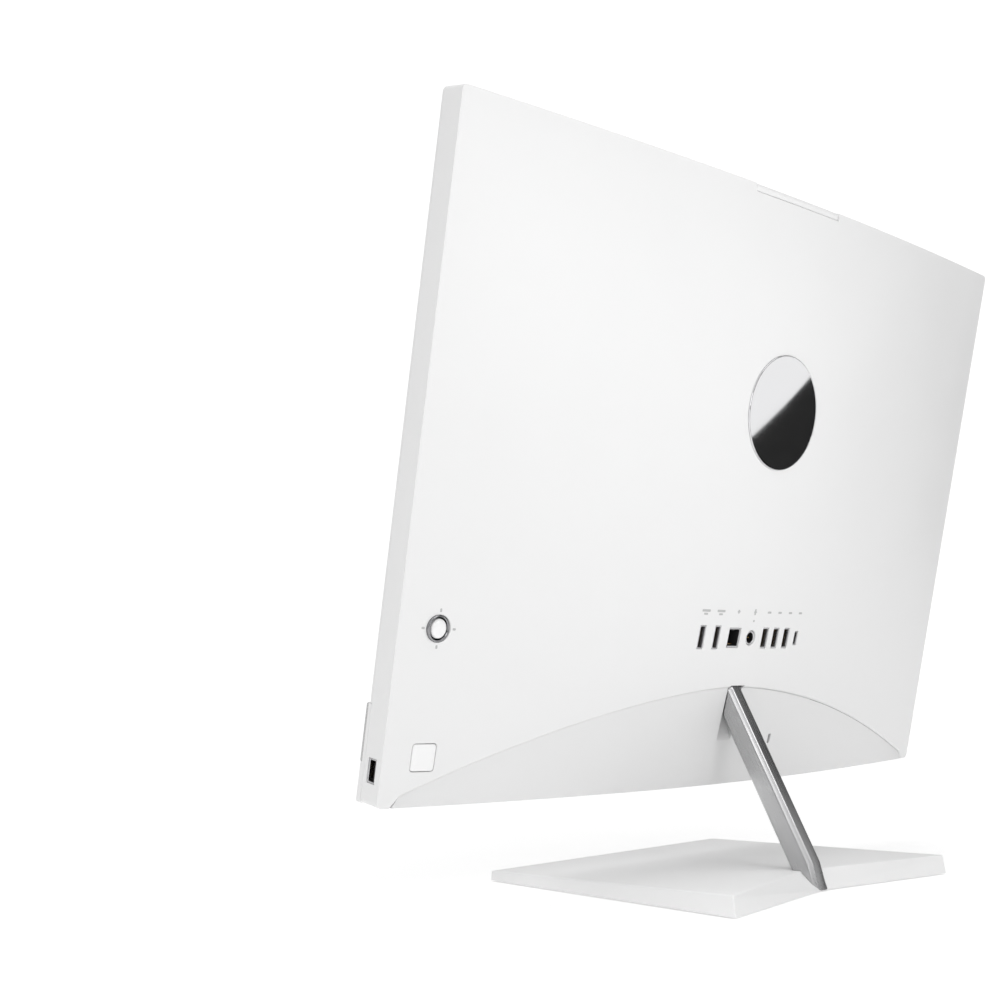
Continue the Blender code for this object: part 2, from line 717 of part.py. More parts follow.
def make_cooler(panel):
    plate = box((10.0, -1.1, 180.0), (54.0, 1.9, 220.0))
    add_object("cold_plate", plate, panel, COPPER, 0.3, 1.0)
    make_heat_pipe(panel)
    floor_d, root_d, tip_d = -5.0, -3.8, 1.9
    fins = [(FIN_START_X, floor_d)]
    for k in range(FIN_COUNT):
        x = FIN_START_X + k * FIN_PITCH
        fins += [(x, tip_d), (x + FIN_W, tip_d), (x + FIN_W, root_d), (x + FIN_PITCH, root_d)]
    last_x = FIN_START_X + FIN_COUNT * FIN_PITCH
    fins += [(last_x, tip_d), (last_x + FIN_W, tip_d), (last_x + FIN_W, floor_d)]
    low_h, high_h = PIPE_HIGH_H - 6.0, PIPE_HIGH_H + 6.0
    add_object("heatsink_fins", prism(fins, along_h, low_h, high_h), panel, SILVER, 0.4, 1.0)


def pipe_path():
    """Middle line of the heat pipe in x and h: across, up through two bends, across."""
    first_r, second_r = 30.0, 27.0
    first_x = 110.0
    middle_x = first_x + first_r
    second_h = PIPE_HIGH_H - second_r
    path = [(14.0, PIPE_LOW_H), (60.0, PIPE_LOW_H), (first_x, PIPE_LOW_H)]
    turns = [math.radians(15 * k) for k in range(1, 7)]
    for angle in turns:
        x = first_x + first_r * math.sin(angle)
        path.append((x, PIPE_LOW_H + first_r * (1 - math.cos(angle))))
    path.append((middle_x, second_h))
    for angle in turns:
        x = middle_x + second_r * (1 - math.cos(angle))
        path.append((x, second_h + second_r * math.sin(angle)))
    return path + [(210.0, PIPE_HIGH_H), (246.0, PIPE_HIGH_H)]


def make_heat_pipe(panel):
    """Round pipe from the cold plate to the fins, drawn as a beveled curve."""
    curve = bpy.data.curves.new("heat_pipe", "CURVE")
    curve.dimensions = "3D"
    curve.bevel_depth = PIPE_R * MM
    curve.bevel_resolution = 2
    curve.use_fill_caps = True
    path = pipe_path()
    spline = curve.splines.new("POLY")
    spline.points.add(len(path) - 1)
    for point, (x, h) in zip(spline.points, path):
        point.co = (x * MM, PIPE_D * MM, h * MM, 1.0)
    curve.materials.append(make_material("heat_pipe", COPPER, 0.3, 1.0))
    pipe = bpy.data.objects.new("heat_pipe", curve)
    bpy.context.collection.objects.link(pipe)
    pipe.parent = panel


def make_fan(panel):
    low = (FAN_X - FAN_HALF, -6.0, FAN_H - FAN_HALF)
    high = (FAN_X + FAN_HALF, 6.0, FAN_H + FAN_HALF)
    housing = add_object("fan_housing", box(low, high), panel, BLACK, 0.5)
    cavity = prism(circle(36.0, 32, (FAN_X, FAN_H)), along_d, -4.8, 4.8)
    boolean(housing, add_object("fan_cavity_cutter", cavity, panel))
    outlet = box((FAN_X - 30.0, -4.6, FAN_H + 10.0), (FAN_X + 30.0, 4.6, FAN_H + 60.0))
    boolean(housing, add_object("fan_outlet_cutter", outlet, panel))
    intake = prism(circle(27.0, 32, (FAN_X, FAN_H)), along_d, 2.0, 12.0)
    boolean(housing, add_object("fan_intake_cutter", intake, panel))
    axis = add_empty("fan_axis", (FAN_X, 0.0, FAN_H), parent=panel)
    outline = []
    hub_r, blade_deg, blade_w_deg = 12.0, 360.0 / FAN_BLADES, 9.0
    for k in range(FAN_BLADES):
        start = k * blade_deg
        corners = [(hub_r, start), (FAN_ROTOR_R, start + 20.0), (FAN_ROTOR_R, start + 23.5),
                   (hub_r, start + blade_w_deg)]
        for radius, angle_deg in corners:
            angle = math.radians(angle_deg)
            outline.append((radius * math.cos(angle), radius * math.sin(angle)))
    add_object("fan_rotor", prism(outline, along_d, -4.2, 4.2), axis, BLACK, 0.4)


# Sockets

def make_sockets(panel):
    """Metal shells and the round power inlet: each a sleeve closed at its inner end."""
    floor_d = IO_BOARD_REAR_D + GAP
    for name, x, (width, height), (cavity_w, cavity_h), depth in SOCKETS:
        mouth = back_depth(x, SOCKET_H) - SOCKET_SUNK
        bm = open_box(width / 2 - GAP, height / 2 - GAP, cavity_w / 2, cavity_h / 2,
                      floor_d, mouth, mouth - depth, along_d)
        move(add_object(name, bm, panel, STEEL, 0.35, 1.0), x, 0.0, SOCKET_H)
    mouth = back_depth(DC_X, SOCKET_H) - 0.6
    profile = [(0, floor_d), (DC_R, floor_d), (DC_R, mouth), (DC_CAVITY_R, mouth),
               (DC_CAVITY_R, mouth - DC_DEPTH), (0, mouth - DC_DEPTH)]
    inlet = add_object("dc_inlet", lathe(profile, along_d, 20), panel, BLACK, 0.4)
    move(inlet, DC_X, 0.0, SOCKET_H)
    mouth = PANEL_W / 2 - 0.6
    bm = open_box(3.4, 7.4, 2.7, 6.5, mouth - 15.0, mouth, mouth - 12.0, along_x)
    move(add_object("side_usb_socket", bm, panel, STEEL, 0.35, 1.0), 0.0, SIDE_USB_D, SIDE_USB_H)


# Camera

def make_camera(panel):
    slide = add_empty("webcam_slide", (0.0, 0.0, CAM_H), parent=panel)
    outline = [(CAM_HALF_W, CAM_FRONT_D)]
    outline += [(x, edge_crown(x)) for x in (CAM_HALF_W, 25.0, 0.0, -25.0, -CAM_HALF_W)]
    outline += [(-CAM_HALF_W, CAM_FRONT_D)]
    bm = prism(outline, along_h, 0.0, PANEL_H - CAM_H)
    top_edges = [e for e in bm.edges
                 if all(v.co.z > 1.0 and v.co.y > 5.0 for v in e.verts)]
    mark_bevel(bm, top_edges)
    body = add_object("webcam_body", bm, slide, WHITE, 0.35)
    bevel_by_weight(body, 2.4, 3)
    tail = box((-46.0, -5.6, -28.0), (46.0, 12.0, 0.6))
    boolean(body, add_object("webcam_tail_shape", tail, slide), "UNION")
    lens_h = CAM_LENS_H - CAM_H
    back_d = CAM_FRONT_D + 0.9
    window = prism(rounded_rectangle(30.0, 4.6, 4.0, 4, (0.0, lens_h)), along_d,
                   CAM_FRONT_D + 0.1, back_d)
    glass = add_object("webcam_window", window, slide, BLACK, 0.1)
    hole = prism(circle(3.6, 24, (0.0, lens_h)), along_d, -9.0, 0.0)
    boolean(glass, add_object("lens_hole_cutter", hole, slide))
    profile = [(0, CAM_FRONT_D - 0.1), (2.0, CAM_FRONT_D), (3.3, CAM_FRONT_D + 0.2),
               (3.3, back_d), (0, back_d)]
    lens = add_object("webcam_lens", lathe(profile, along_d, 24), slide, BLACK, 0.05)
    move(lens, 0.0, 0.0, lens_h)
    for side, sign in (("left", -1), ("right", 1)):
        edges = sorted((sign * 46.3, sign * 49.3))
        rail = box((edges[0], -6.0, 384.0), (edges[1], 12.0, 412.5))
        add_object(f"camera_rail_{side}", rail, panel, BLACK, 0.5)


# Controls

def make_button(panel):
    surface = back_depth(BUTTON_X, BUTTON_H)
    travel = add_empty("power_button_slide", (BUTTON_X, surface, BUTTON_H), parent=panel)
    rings = []
    for scale, d in ((1.0, -2.6), (1.0, -0.3), (0.93, 0.15)):
        outline = rounded_rectangle(BUTTON_HALF * scale, BUTTON_HALF * scale, BUTTON_R, 3)
        rings.append([(a, d, b) for a, b in outline])
    cap = add_object("power_button", loft(rings), travel, WHITE, 0.15)
    stem = prism(circle(2.0, 12), along_d, -2.9 - surface, -2.4)
    boolean(cap, add_object("button_stem_shape", stem, travel), "UNION")


def make_joystick(panel):
    rocker = add_empty("joystick_gimbal", (JOY_X, JOY_D, JOY_H), parent=panel)
    surface = back_depth(JOY_X, JOY_H)
    ring = tube_ring(JOY_RING_IN_R, JOY_RING_R, surface - 3.4, surface + 0.5, along_d, 28)
    move(add_object("joystick_ring", ring, panel, STEEL, 0.25, 1.0), JOY_X, 0.0, JOY_H)
    profile = [(0, -5.3), (6.2, -5.3), (6.2, -2.2), (4.6, -2.2), (4.6, -4.7), (0, -4.7)]
    socket = add_object("joystick_base", lathe(profile, along_d, 24), panel, BLACK, 0.5)
    move(socket, JOY_X, 0.0, JOY_H)
    gimbal = tube_ring(2.7, 4.0, -0.6, 0.6, along_d, 24)
    add_object("joystick_gimbal_ring", gimbal, rocker, STEEL, 0.4, 1.0)
    cap_floor = surface - JOY_D - 2.0
    sleeve = tube_ring(1.5, 2.3, -0.6, cap_floor - 0.9, along_d, 20)
    add_object("joystick_stem", sleeve, rocker, BLACK, 0.5)
    profile = [(0, 0.2), (1.2, 0.2), (1.2, cap_floor), (JOY_CAP_R, cap_floor),
               (JOY_CAP_R, cap_floor + 2.0), (JOY_CAP_R - 1.0, cap_floor + 3.0),
               (JOY_CAP_R - 3.2, cap_floor + 3.7), (0, cap_floor + 3.9)]
    add_object("joystick_cap", lathe(profile, along_d, 28), rocker, WHITE, 0.3)


def main():
    clear_scene()
    make_base()
    make_feet()
    make_arm()
    make_screws()
    make_hinge_shaft()
    tilt_axis = add_empty("tilt_axis", tilt_pivot(), (-math.radians(TILT_DEG), 0.0, 0.0))
    panel = add_empty("panel_datum", (0.0, -PIVOT_D, -PIVOT_H), parent=tilt_axis)
    make_rear_cover(panel)
    make_lower_cover(panel)
    make_front(panel)
    make_badge(panel)
    make_chassis(panel)
    make_boards(panel)
    make_cooler(panel)
    make_fan(panel)
    make_sockets(panel)
    make_camera(panel)
    make_button(panel)
    make_joystick(panel)


main()
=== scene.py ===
"""Looks of a white all-in-one desktop computer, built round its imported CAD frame."""
import math

import bmesh
import bpy
from mathutils import Matrix, Vector


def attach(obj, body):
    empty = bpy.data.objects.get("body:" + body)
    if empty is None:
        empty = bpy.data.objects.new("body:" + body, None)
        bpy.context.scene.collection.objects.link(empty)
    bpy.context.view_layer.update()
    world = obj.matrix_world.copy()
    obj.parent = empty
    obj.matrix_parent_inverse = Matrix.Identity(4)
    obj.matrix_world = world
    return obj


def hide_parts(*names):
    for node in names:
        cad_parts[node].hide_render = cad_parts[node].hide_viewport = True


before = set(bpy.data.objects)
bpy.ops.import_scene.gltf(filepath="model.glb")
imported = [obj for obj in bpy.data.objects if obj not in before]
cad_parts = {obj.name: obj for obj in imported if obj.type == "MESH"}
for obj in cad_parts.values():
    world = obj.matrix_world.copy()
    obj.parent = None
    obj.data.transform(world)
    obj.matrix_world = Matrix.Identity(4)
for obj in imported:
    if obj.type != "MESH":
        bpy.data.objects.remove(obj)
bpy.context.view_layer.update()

# Sizes are in millimetres. Most pieces are drawn in the display's own frame: x along the width,
# d depth (0 at the ridge, positive to the rear) and h height up the panel.
MM = 0.001
TILT = math.radians(10.4)
PANEL = Matrix.Translation((0.0, -26.5 * MM, 71.2 * MM)) @ Matrix.Rotation(-TILT, 4, "X")
WORLD = Matrix.Identity(4)

PANEL_W = 613.0
PANEL_H = 420.7
CORNER_R = 3.5
WALL = 2.4
RIM_D = -15.3
BEZEL_FRONT_D = -17.2
CHIN_FRONT_D = -20.3
CHIN_H = 61.6
RIDGE_R = 3.0
EDGE_CROWN = 18.7
EDGE_POWER = 1.9
FIELD_CROWN = 13.3
FIELD_H = 216.0
FIELD_POWER = 2.5
CROWN_HALF_W = 305.0
ARCH_TOP_H = 74.3
ARCH_DROP = 67.3
ARCH_HALF_W = 290.0
ARCH_POWER = 1.7
ARCH_STEP = 2.0
ARCH_FRONT_D = -12.5
ACTIVE_W = 597.9
ACTIVE_H = 336.3
ACTIVE_TOP_H = 413.2
PIVOT_D = 16.8
PIVOT_H = 77.2
ARM_LEAN = math.radians(29.5)
TILT_DOWN = math.radians(5.0)
TILT_UP = math.radians(20.0)
ARM_HALF_W = 7.5
ARM_REAR = 5.5
ARM_FRONT = 12.6
ARM_CHAMFER = 3.0
SHAFT_R = 3.0
GAP = 0.3
HAIRLINE = 0.08
SOCKET_H = 111.2
SOCKET_SUNK = 0.9
IO_BOARD_REAR_D = 13.2
DC_X = -3.6
DC_R = 5.2
DC_CAVITY_R = 3.9
DC_DEPTH = 9.0
SIDE_USB_H = 21.5
SIDE_USB_D = -8.5
LOCK = (-59.5, 32.5)
JOY = (278.4, 110.7)
JOY_RING_R = 8.4
JOY_RING_IN_R = 7.1
JOY_CAP_R = 6.1
BUTTON = (277.0, 31.0)
BUTTON_HALF = 8.45
BUTTON_R = 1.9
BADGE_H = 272.2
BADGE_R = 40.1
BADGE_RECESS = 1.2
BADGE_LEAN = 0.025             # the back falls away upwards here
CAM_HALF_W = 49.8
CAM_H = 413.9
CAM_CAP_H = 415.6
CAM_FRONT_D = -6.8
CAM_LENS_H = 406.0
CAM_GAP_LEFT = 0.8             # gaps round the camera cap; left and right as seen from behind
CAM_GAP_RIGHT = 0.2
CAM_GAP_UNDER = 0.5
THROUGH_D = 70.0               # cutters reach this far behind the display
SOCKET_CUT_D = 14.0            # floor of the rear cover's socket openings

# Rear sockets: name, x, cover cut-out (width, height), cavity (width, height), cavity depth
SOCKETS = [
    ("hdmi_socket_1", 52.6, (6.8, 17.0), (5.2, 14.8), 11.0),
    ("hdmi_socket_2", 36.2, (6.8, 17.0), (5.2, 14.8), 11.0),
    ("lan_socket", 16.1, (14.0, 14.4), (11.2, 11.8), 12.0),
    ("usb_a_socket_1", -21.3, (7.4, 15.4), (5.4, 13.0), 12.0),
    ("usb_a_socket_2", -34.9, (7.4, 15.4), (5.4, 13.0), 12.0),
    ("usb_a_socket_3", -48.9, (7.4, 15.4), (5.4, 13.0), 12.0),
    ("usb_c_socket", -62.7, (4.8, 10.8), (3.0, 8.8), 4.0),
]


# Shape of the display's back

def edge_crown(x):
    return EDGE_CROWN * (1.0 - min(abs(x) / CROWN_HALF_W, 1.0) ** EDGE_POWER)


def back_depth(x, h):
    span = FIELD_H if h < FIELD_H else PANEL_H - FIELD_H
    vertical = 1.0 - min(abs(h - FIELD_H) / span, 1.0) ** FIELD_POWER
    across = 1.0 - min(abs(x) / CROWN_HALF_W, 1.0) ** 2
    return edge_crown(x) + FIELD_CROWN * across * vertical


def arch_height(x):
    return ARCH_TOP_H - ARCH_DROP * min(abs(x) / ARCH_HALF_W, 1.0) ** ARCH_POWER


def lower_depth(x, h):
    top_h = arch_height(x)
    top_d = back_depth(x, top_h) - ARCH_STEP
    share = min(h / top_h, 1.3)
    return edge_crown(x) + (top_d - edge_crown(x)) * share


# Materials

def node(tree, kind, inputs=(), **settings):
    """Add a shader node, set its properties and fill its inputs by name."""
    made = tree.nodes.new(kind)
    for key, value in settings.items():
        setattr(made, key, value)
    for key, value in dict(inputs).items():
        if isinstance(value, bpy.types.NodeSocket):
            tree.links.new(value, made.inputs[key])
        else:
            made.inputs[key].default_value = value
    return made


def noise(tree, vector, feature_mm, detail=3.0):
    """Noise whose features are about feature_mm across."""
    made = node(tree, "ShaderNodeTexNoise",
                {"Vector": vector, "Scale": 0.5 / (feature_mm * MM), "Detail": detail})
    return made.outputs["Fac"]


def ramp(tree, value, low, high):
    """Map 0.3..0.7 of a texture to low..high."""
    made = node(tree, "ShaderNodeMapRange", {"Value": value, "From Min": 0.3, "From Max": 0.7,
                                             "To Min": low, "To Max": high})
    return made.outputs["Result"]


def blend_color(tree, factor, first, second):
    made = node(tree, "ShaderNodeMix", data_type="RGBA")
    tree.links.new(factor, made.inputs["Factor"])
    for socket, value in ((made.inputs[6], first), (made.inputs[7], second)):
        if isinstance(value, bpy.types.NodeSocket):
            tree.links.new(value, socket)
        else:
            socket.default_value = (*value, 1.0)
    return made.outputs[2]


def surface(name, color, rough, metal=0.0, grain=0.6, bump=0.01, spread=0.06, tint=0.03,
            stretch=(1.0, 1.0, 1.0), turn=(0.0, 0.0, 0.0), pattern=None, **fixed):
    """Procedural material: fine grain in bump and gloss, broad faint mottling in colour."""
    material = bpy.data.materials.new(name)
    material.use_nodes = True
    tree = material.node_tree
    shader = tree.nodes["Principled BSDF"]
    place = node(tree, "ShaderNodeTexCoord").outputs["Object"]
    turned = node(tree, "ShaderNodeMapping", {"Vector": place, "Rotation": turn}).outputs[0]
    stretched = node(tree, "ShaderNodeMapping", {"Vector": turned, "Scale": stretch}).outputs[0]
    fine = noise(tree, stretched, grain)
    broad = noise(tree, place, 35.0, 2.0)
    dark = tuple(c * (1 - tint) for c in color)
    light = tuple(min(c * (1 + tint), 1.0) for c in color)
    base = blend_color(tree, broad, dark, light)
    base = blend_color(tree, ramp(tree, fine, 0.0, tint * 6), base, dark)
    height = fine
    if pattern:
        base, height = pattern(tree, turned, base, fine)
    tree.links.new(base, shader.inputs["Base Color"])
    mixed = node(tree, "ShaderNodeMath", {0: fine, 1: broad}, operation="ADD").outputs[0]
    halved = node(tree, "ShaderNodeMath", {0: mixed, 1: 0.5}, operation="MULTIPLY").outputs[0]
    tree.links.new(ramp(tree, halved, rough - spread, rough + spread), shader.inputs["Roughness"])
    relief = node(tree, "ShaderNodeBump",
                  {"Height": height, "Distance": bump * MM, "Strength": 1.0})
    tree.links.new(relief.outputs["Normal"], shader.inputs["Normal"])
    shader.inputs["Metallic"].default_value = metal
    for key, value in fixed.items():
        shader.inputs[key.replace("_", " ")].default_value = value
    return material


def wave(tree, vector, direction, pitch_mm, distortion=0.0):
    made = node(tree, "ShaderNodeTexWave",
                {"Vector": vector, "Scale": math.pi / 10 / (pitch_mm * MM), "Distortion": distortion},
                wave_type="BANDS", bands_direction=direction, wave_profile="SIN")
    return made.outputs["Fac"]


def weave(pitch):
    """Plain weave: two sets of crossing yarns."""
    def apply(tree, vector, base, fine):
        warp = wave(tree, vector, "X", pitch, 0.4)
        weft = wave(tree, vector, "Z", pitch, 0.4)
        crossed = node(tree, "ShaderNodeMath", {0: warp, 1: weft}, operation="MULTIPLY").outputs[0]
        raised = node(tree, "ShaderNodeMath", {0: crossed, 1: fine}, operation="ADD").outputs[0]
        yarn = blend_color(tree, crossed, (0.40, 0.40, 0.405), base)
        return yarn, raised
    return apply


def tracks(pitch):
    """Copper tracks under a solder mask, as a fine broken grid."""
    def apply(tree, vector, base, fine):
        cells = node(tree, "ShaderNodeTexVoronoi", {"Vector": vector, "Scale": 1.0 / (pitch * MM)},
                     distance="CHEBYCHEV", feature="F1").outputs["Distance"]
        lines = wave(tree, vector, "X", pitch, 6.0)
        drawn = node(tree, "ShaderNodeMath", {0: cells, 1: lines}, operation="MULTIPLY").outputs[0]
        sharp = node(tree, "ShaderNodeMapRange",
                     {"Value": drawn, "From Min": 0.18, "From Max": 0.24})
        track = blend_color(tree, sharp.outputs["Result"], base, (0.06, 0.24, 0.13))
        return track, sharp.outputs["Result"]
    return apply


MATERIALS = {
    "shell": surface("white_moulded_shell", (0.815, 0.815, 0.815), 0.42, grain=0.35, bump=0.006,
                     tint=0.008, Specular_IOR_Level=0.45),
    # The lower cover gets the shell's white made a shade greyer: painted shade for its
    # downward-facing surface.
    "lower": surface("white_moulded_lower_painted_shade", (0.775, 0.775, 0.775), 0.44, grain=0.35, bump=0.006,
                     tint=0.008, Specular_IOR_Level=0.45),
    "bezel": surface("black_textured_frame", (0.012, 0.012, 0.013), 0.42, grain=0.3, bump=0.02),
    "screen": surface("dark_screen_glass", (0.006, 0.007, 0.009), 0.16, grain=0.15, bump=0.0008,
                      spread=0.03, Coat_Weight=0.4, Coat_Roughness=0.12),
    "cloth": surface("grey_speaker_cloth", (0.62, 0.62, 0.615), 0.88, grain=0.25, bump=0.12,
                     pattern=weave(0.9), Sheen_Weight=0.3),
    "arm": surface("brushed_aluminium", (0.50, 0.50, 0.505), 0.30, 1.0, grain=0.25, bump=0.004,
                   spread=0.10, tint=0.05, stretch=(1.0, 1.0, 0.02), turn=(-ARM_LEAN, 0.0, 0.0)),
    "base": surface("pale_satin_aluminium", (0.88, 0.88, 0.88), 0.52, 0.1, grain=0.3, bump=0.005,
                    tint=0.012),
    "steel": surface("rolled_steel", (0.46, 0.47, 0.48), 0.34, 1.0, grain=0.5, bump=0.01,
                     spread=0.1, tint=0.08, stretch=(0.08, 1.0, 1.0)),
    "socket": surface("nickel_plated_sheet", (0.55, 0.55, 0.56), 0.30, 1.0, grain=0.3, bump=0.006,
                      spread=0.08, tint=0.06),
    "black": surface("black_moulded_plastic", (0.010, 0.010, 0.011), 0.5, grain=0.3, bump=0.015),
    "gold": surface("gold_plated_contact", (0.80, 0.55, 0.25), 0.25, 1.0, grain=0.2, bump=0.003),
    "board": surface("green_circuit_board", (0.015, 0.09, 0.045), 0.38, grain=0.5, bump=0.02,
                     pattern=tracks(1.6)),
    "copper": surface("bare_copper", (0.62, 0.29, 0.17), 0.28, 1.0, grain=0.6, bump=0.008,
                      spread=0.1, tint=0.12),
    "fins": surface("plain_aluminium_fins", (0.66, 0.66, 0.67), 0.34, 1.0, grain=0.4, bump=0.006,
                    stretch=(1.0, 1.0, 0.1)),
    "rubber": surface("matt_rubber", (0.022, 0.022, 0.023), 0.85, grain=0.5, bump=0.04),
    "badge": surface("polished_badge_metal", (0.80, 0.80, 0.81), 0.05, 1.0, grain=0.2,
                     bump=0.0004, spread=0.02, tint=0.01),
    "ring": surface("dark_polished_ring", (0.30, 0.30, 0.31), 0.11, 1.0, grain=0.15, bump=0.002,
                    spread=0.05),
    "button": surface("gloss_white_button", (0.88, 0.88, 0.88), 0.16, grain=0.4, bump=0.001,
                      spread=0.04, tint=0.01, Coat_Weight=0.5, Coat_Roughness=0.06),
    "groove": surface("grey_groove_seal", (0.32, 0.32, 0.32), 0.6, grain=0.3, bump=0.01),
    "print": surface("grey_printed_mark", (0.50, 0.50, 0.50), 0.6, grain=0.12, bump=0.004,
                     tint=0.08),
    "lens": surface("black_gloss_lens", (0.004, 0.004, 0.006), 0.05, grain=0.2, bump=0.0003,
                    spread=0.02, Coat_Weight=1.0, Coat_Roughness=0.03),
}


# Building solids as bmesh, in millimetres

def new_bmesh():
    bm = bmesh.new()
    bm.edges.layers.float.new("bevel_weight_edge")
    return bm


def loft(loops, bm=None, wrap=False):
    """Solid through loops of points with the same count; wrap joins the last to the first."""
    bm = bm or new_bmesh()
    rows = [[bm.verts.new(p) for p in loop] for loop in loops]
    count = len(rows[0])
    pairs = list(zip(rows, rows[1:]))
    if wrap:
        pairs.append((rows[-1], rows[0]))
    for lower, upper in pairs:
        for i in range(count):
            j = (i + 1) % count
            bm.faces.new((lower[i], lower[j], upper[j], upper[i]))
    if not wrap:
        bm.faces.new(list(reversed(rows[0])))
        bm.faces.new(rows[-1])
    return bm


def along_d(a, b, t):
    return (a, t, b)


def along_x(a, b, t):
    return (t, a, b)


def along_h(a, b, t):
    return (a, b, t)


def stack(sections, place=along_d, bm=None, wrap=False):
    """Loft through (outline, t) sections; place puts an outline point (a, b) at t."""
    return loft([[place(a, b, t) for a, b in outline] for outline, t in sections], bm, wrap)


def box(low, high, bm=None):
    bm = bm or new_bmesh()
    size = [b - a for a, b in zip(low, high)]
    middle = [(a + b) / 2 for a, b in zip(low, high)]
    matrix = Matrix.Translation(middle) @ Matrix.Diagonal((*size, 1.0))
    bmesh.ops.create_cube(bm, size=1.0, matrix=matrix)
    return bm


def circle(radius, segments=48, center=(0.0, 0.0)):
    return [(center[0] + radius * math.cos(2 * math.pi * i / segments),
             center[1] + radius * math.sin(2 * math.pi * i / segments)) for i in range(segments)]


def rounded(half_w, half_h, radius, center=(0.0, 0.0), corner=6):
    """Counter-clockwise rounded rectangle."""
    points = []
    for sx, sy, start in ((1, 1, 0), (-1, 1, 90), (-1, -1, 180), (1, -1, 270)):
        for k in range(corner + 1):
            angle = math.radians(start + 90 * k / corner)
            points.append((center[0] + sx * (half_w - radius) + radius * math.cos(angle),
                           center[1] + sy * (half_h - radius) + radius * math.sin(angle)))
    return points


def grow(outline, amount):
    """Move every point of a counter-clockwise outline outwards."""
    grown = []
    count = len(outline)
    for i, (a, b) in enumerate(outline):
        before, after = outline[i - 1], outline[(i + 1) % count]
        first = Vector((b - before[1], before[0] - a)).normalized()
        second = Vector((after[1] - b, a - after[0])).normalized()
        normal = first + second
        scale = amount * 2.0 / max(normal.length_squared, 0.5)
        grown.append((a + normal.x * scale, b + normal.y * scale))
    return grown


def lathe(profile, place=along_d, segments=48, center=(0.0, 0.0), bm=None):
    """Solid of revolution of (radius, t) points; a radius of 0 closes an end."""
    bm = bm or new_bmesh()
    loops = []
    for radius, t in profile:
        if radius == 0:
            loops.append([bm.verts.new(place(center[0], center[1], t))])
        else:
            loops.append([bm.verts.new(place(a, b, t))
                          for a, b in circle(radius, segments, center)])
    closed = profile[0][0] != 0
    pairs = list(zip(loops, loops[1:])) + ([(loops[-1], loops[0])] if closed else [])
    for first, second in pairs:
        for i in range(segments):
            j = (i + 1) % segments
            corners = [first[i % len(first)], first[j % len(first)],
                       second[j % len(second)], second[i % len(second)]]
            bm.faces.new(list(dict.fromkeys(corners)))
    return bm


def spread(low, high, steps):
    return [low + (high - low) * i / steps for i in range(steps + 1)]


# From bmesh to finished piece

def add_object(name, bm, matrix=PANEL):
    """Turn a bmesh in millimetres of some frame into an object in world metres."""
    bmesh.ops.recalc_face_normals(bm, faces=bm.faces)
    mesh = bpy.data.meshes.new(name)
    bm.transform(matrix @ Matrix.Scale(MM, 4))
    bm.to_mesh(mesh)
    bm.free()
    obj = bpy.data.objects.new(name, mesh)
    bpy.context.scene.collection.objects.link(obj)
    return obj


def bevel(obj, width, segments=3, angle=None):
    """Round the weighted edges, or with an angle every edge that is sharper."""
    modifier = obj.modifiers.new("bevel", "BEVEL")
    modifier.width = width * MM
    modifier.segments = segments
    modifier.limit_method = "ANGLE" if angle else "WEIGHT"
    if angle:
        modifier.angle_limit = math.radians(angle)


def boolean(obj, bm, operation="DIFFERENCE", matrix=PANEL):
    cutter = add_object("cutter", bm, matrix)
    modifier = obj.modifiers.new("boolean", "BOOLEAN")
    modifier.operation = operation
    modifier.solver = "EXACT"
    modifier.object = cutter


def apply_modifiers(obj):
    """Keep the evaluated mesh and remove the cutters."""
    cutters = [m.object for m in obj.modifiers if m.type == "BOOLEAN"]
    bpy.context.view_layer.update()
    evaluated = obj.evaluated_get(bpy.context.evaluated_depsgraph_get())
    mesh = bpy.data.meshes.new_from_object(evaluated)
    obj.modifiers.clear()
    obj.data = mesh
    for cutter in cutters:
        bpy.data.objects.remove(cutter, do_unlink=True)


def piece(obj, body, material, nodes=(), smooth=32.0):
    """Finish a piece: shading, material, the body it rides on and the CAD nodes it stands for."""
    if obj.modifiers:
        apply_modifiers(obj)
    mesh = obj.data
    mesh.shade_smooth()
    mesh.set_sharp_from_angle(angle=math.radians(smooth))
    mesh.materials.clear()
    mesh.materials.append(MATERIALS[material])
    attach(obj, body)
    if nodes:
        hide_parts(*nodes)
    return obj


def second_material(obj, material, chosen):
    """Give the faces whose centre (x, d, h) is chosen another material."""
    obj.data.materials.append(MATERIALS[material])
    inverse = PANEL.inverted()
    for polygon in obj.data.polygons:
        if chosen(*((inverse @ polygon.center) / MM)):
            polygon.material_index = 1


def follow_surface(obj, depth):
    """Shade the outer face with the exact normals of the smooth back."""
    mesh = obj.data
    inverse = PANEL.inverted()
    turn = PANEL.to_3x3()
    ideal = []
    step = 0.5
    for vertex in mesh.vertices:
        x, d, h = (inverse @ vertex.co) / MM
        if abs(d - depth(x, h)) > 0.03:
            ideal.append(None)
            continue
        slope_x = (depth(x + step, h) - depth(x - step, h)) / (2 * step)
        slope_h = (depth(x, h + step) - depth(x, h - step)) / (2 * step)
        ideal.append((turn @ Vector((-slope_x, 1.0, -slope_h))).normalized())
    corner = [Vector(n.vector) for n in mesh.corner_normals]
    for polygon in mesh.polygons:
        for loop in polygon.loop_indices:
            normal = ideal[mesh.loops[loop].vertex_index]
            if normal is not None and polygon.normal.dot(normal) > 0.9:
                corner[loop] = normal
    mesh.normals_split_custom_set(corner)


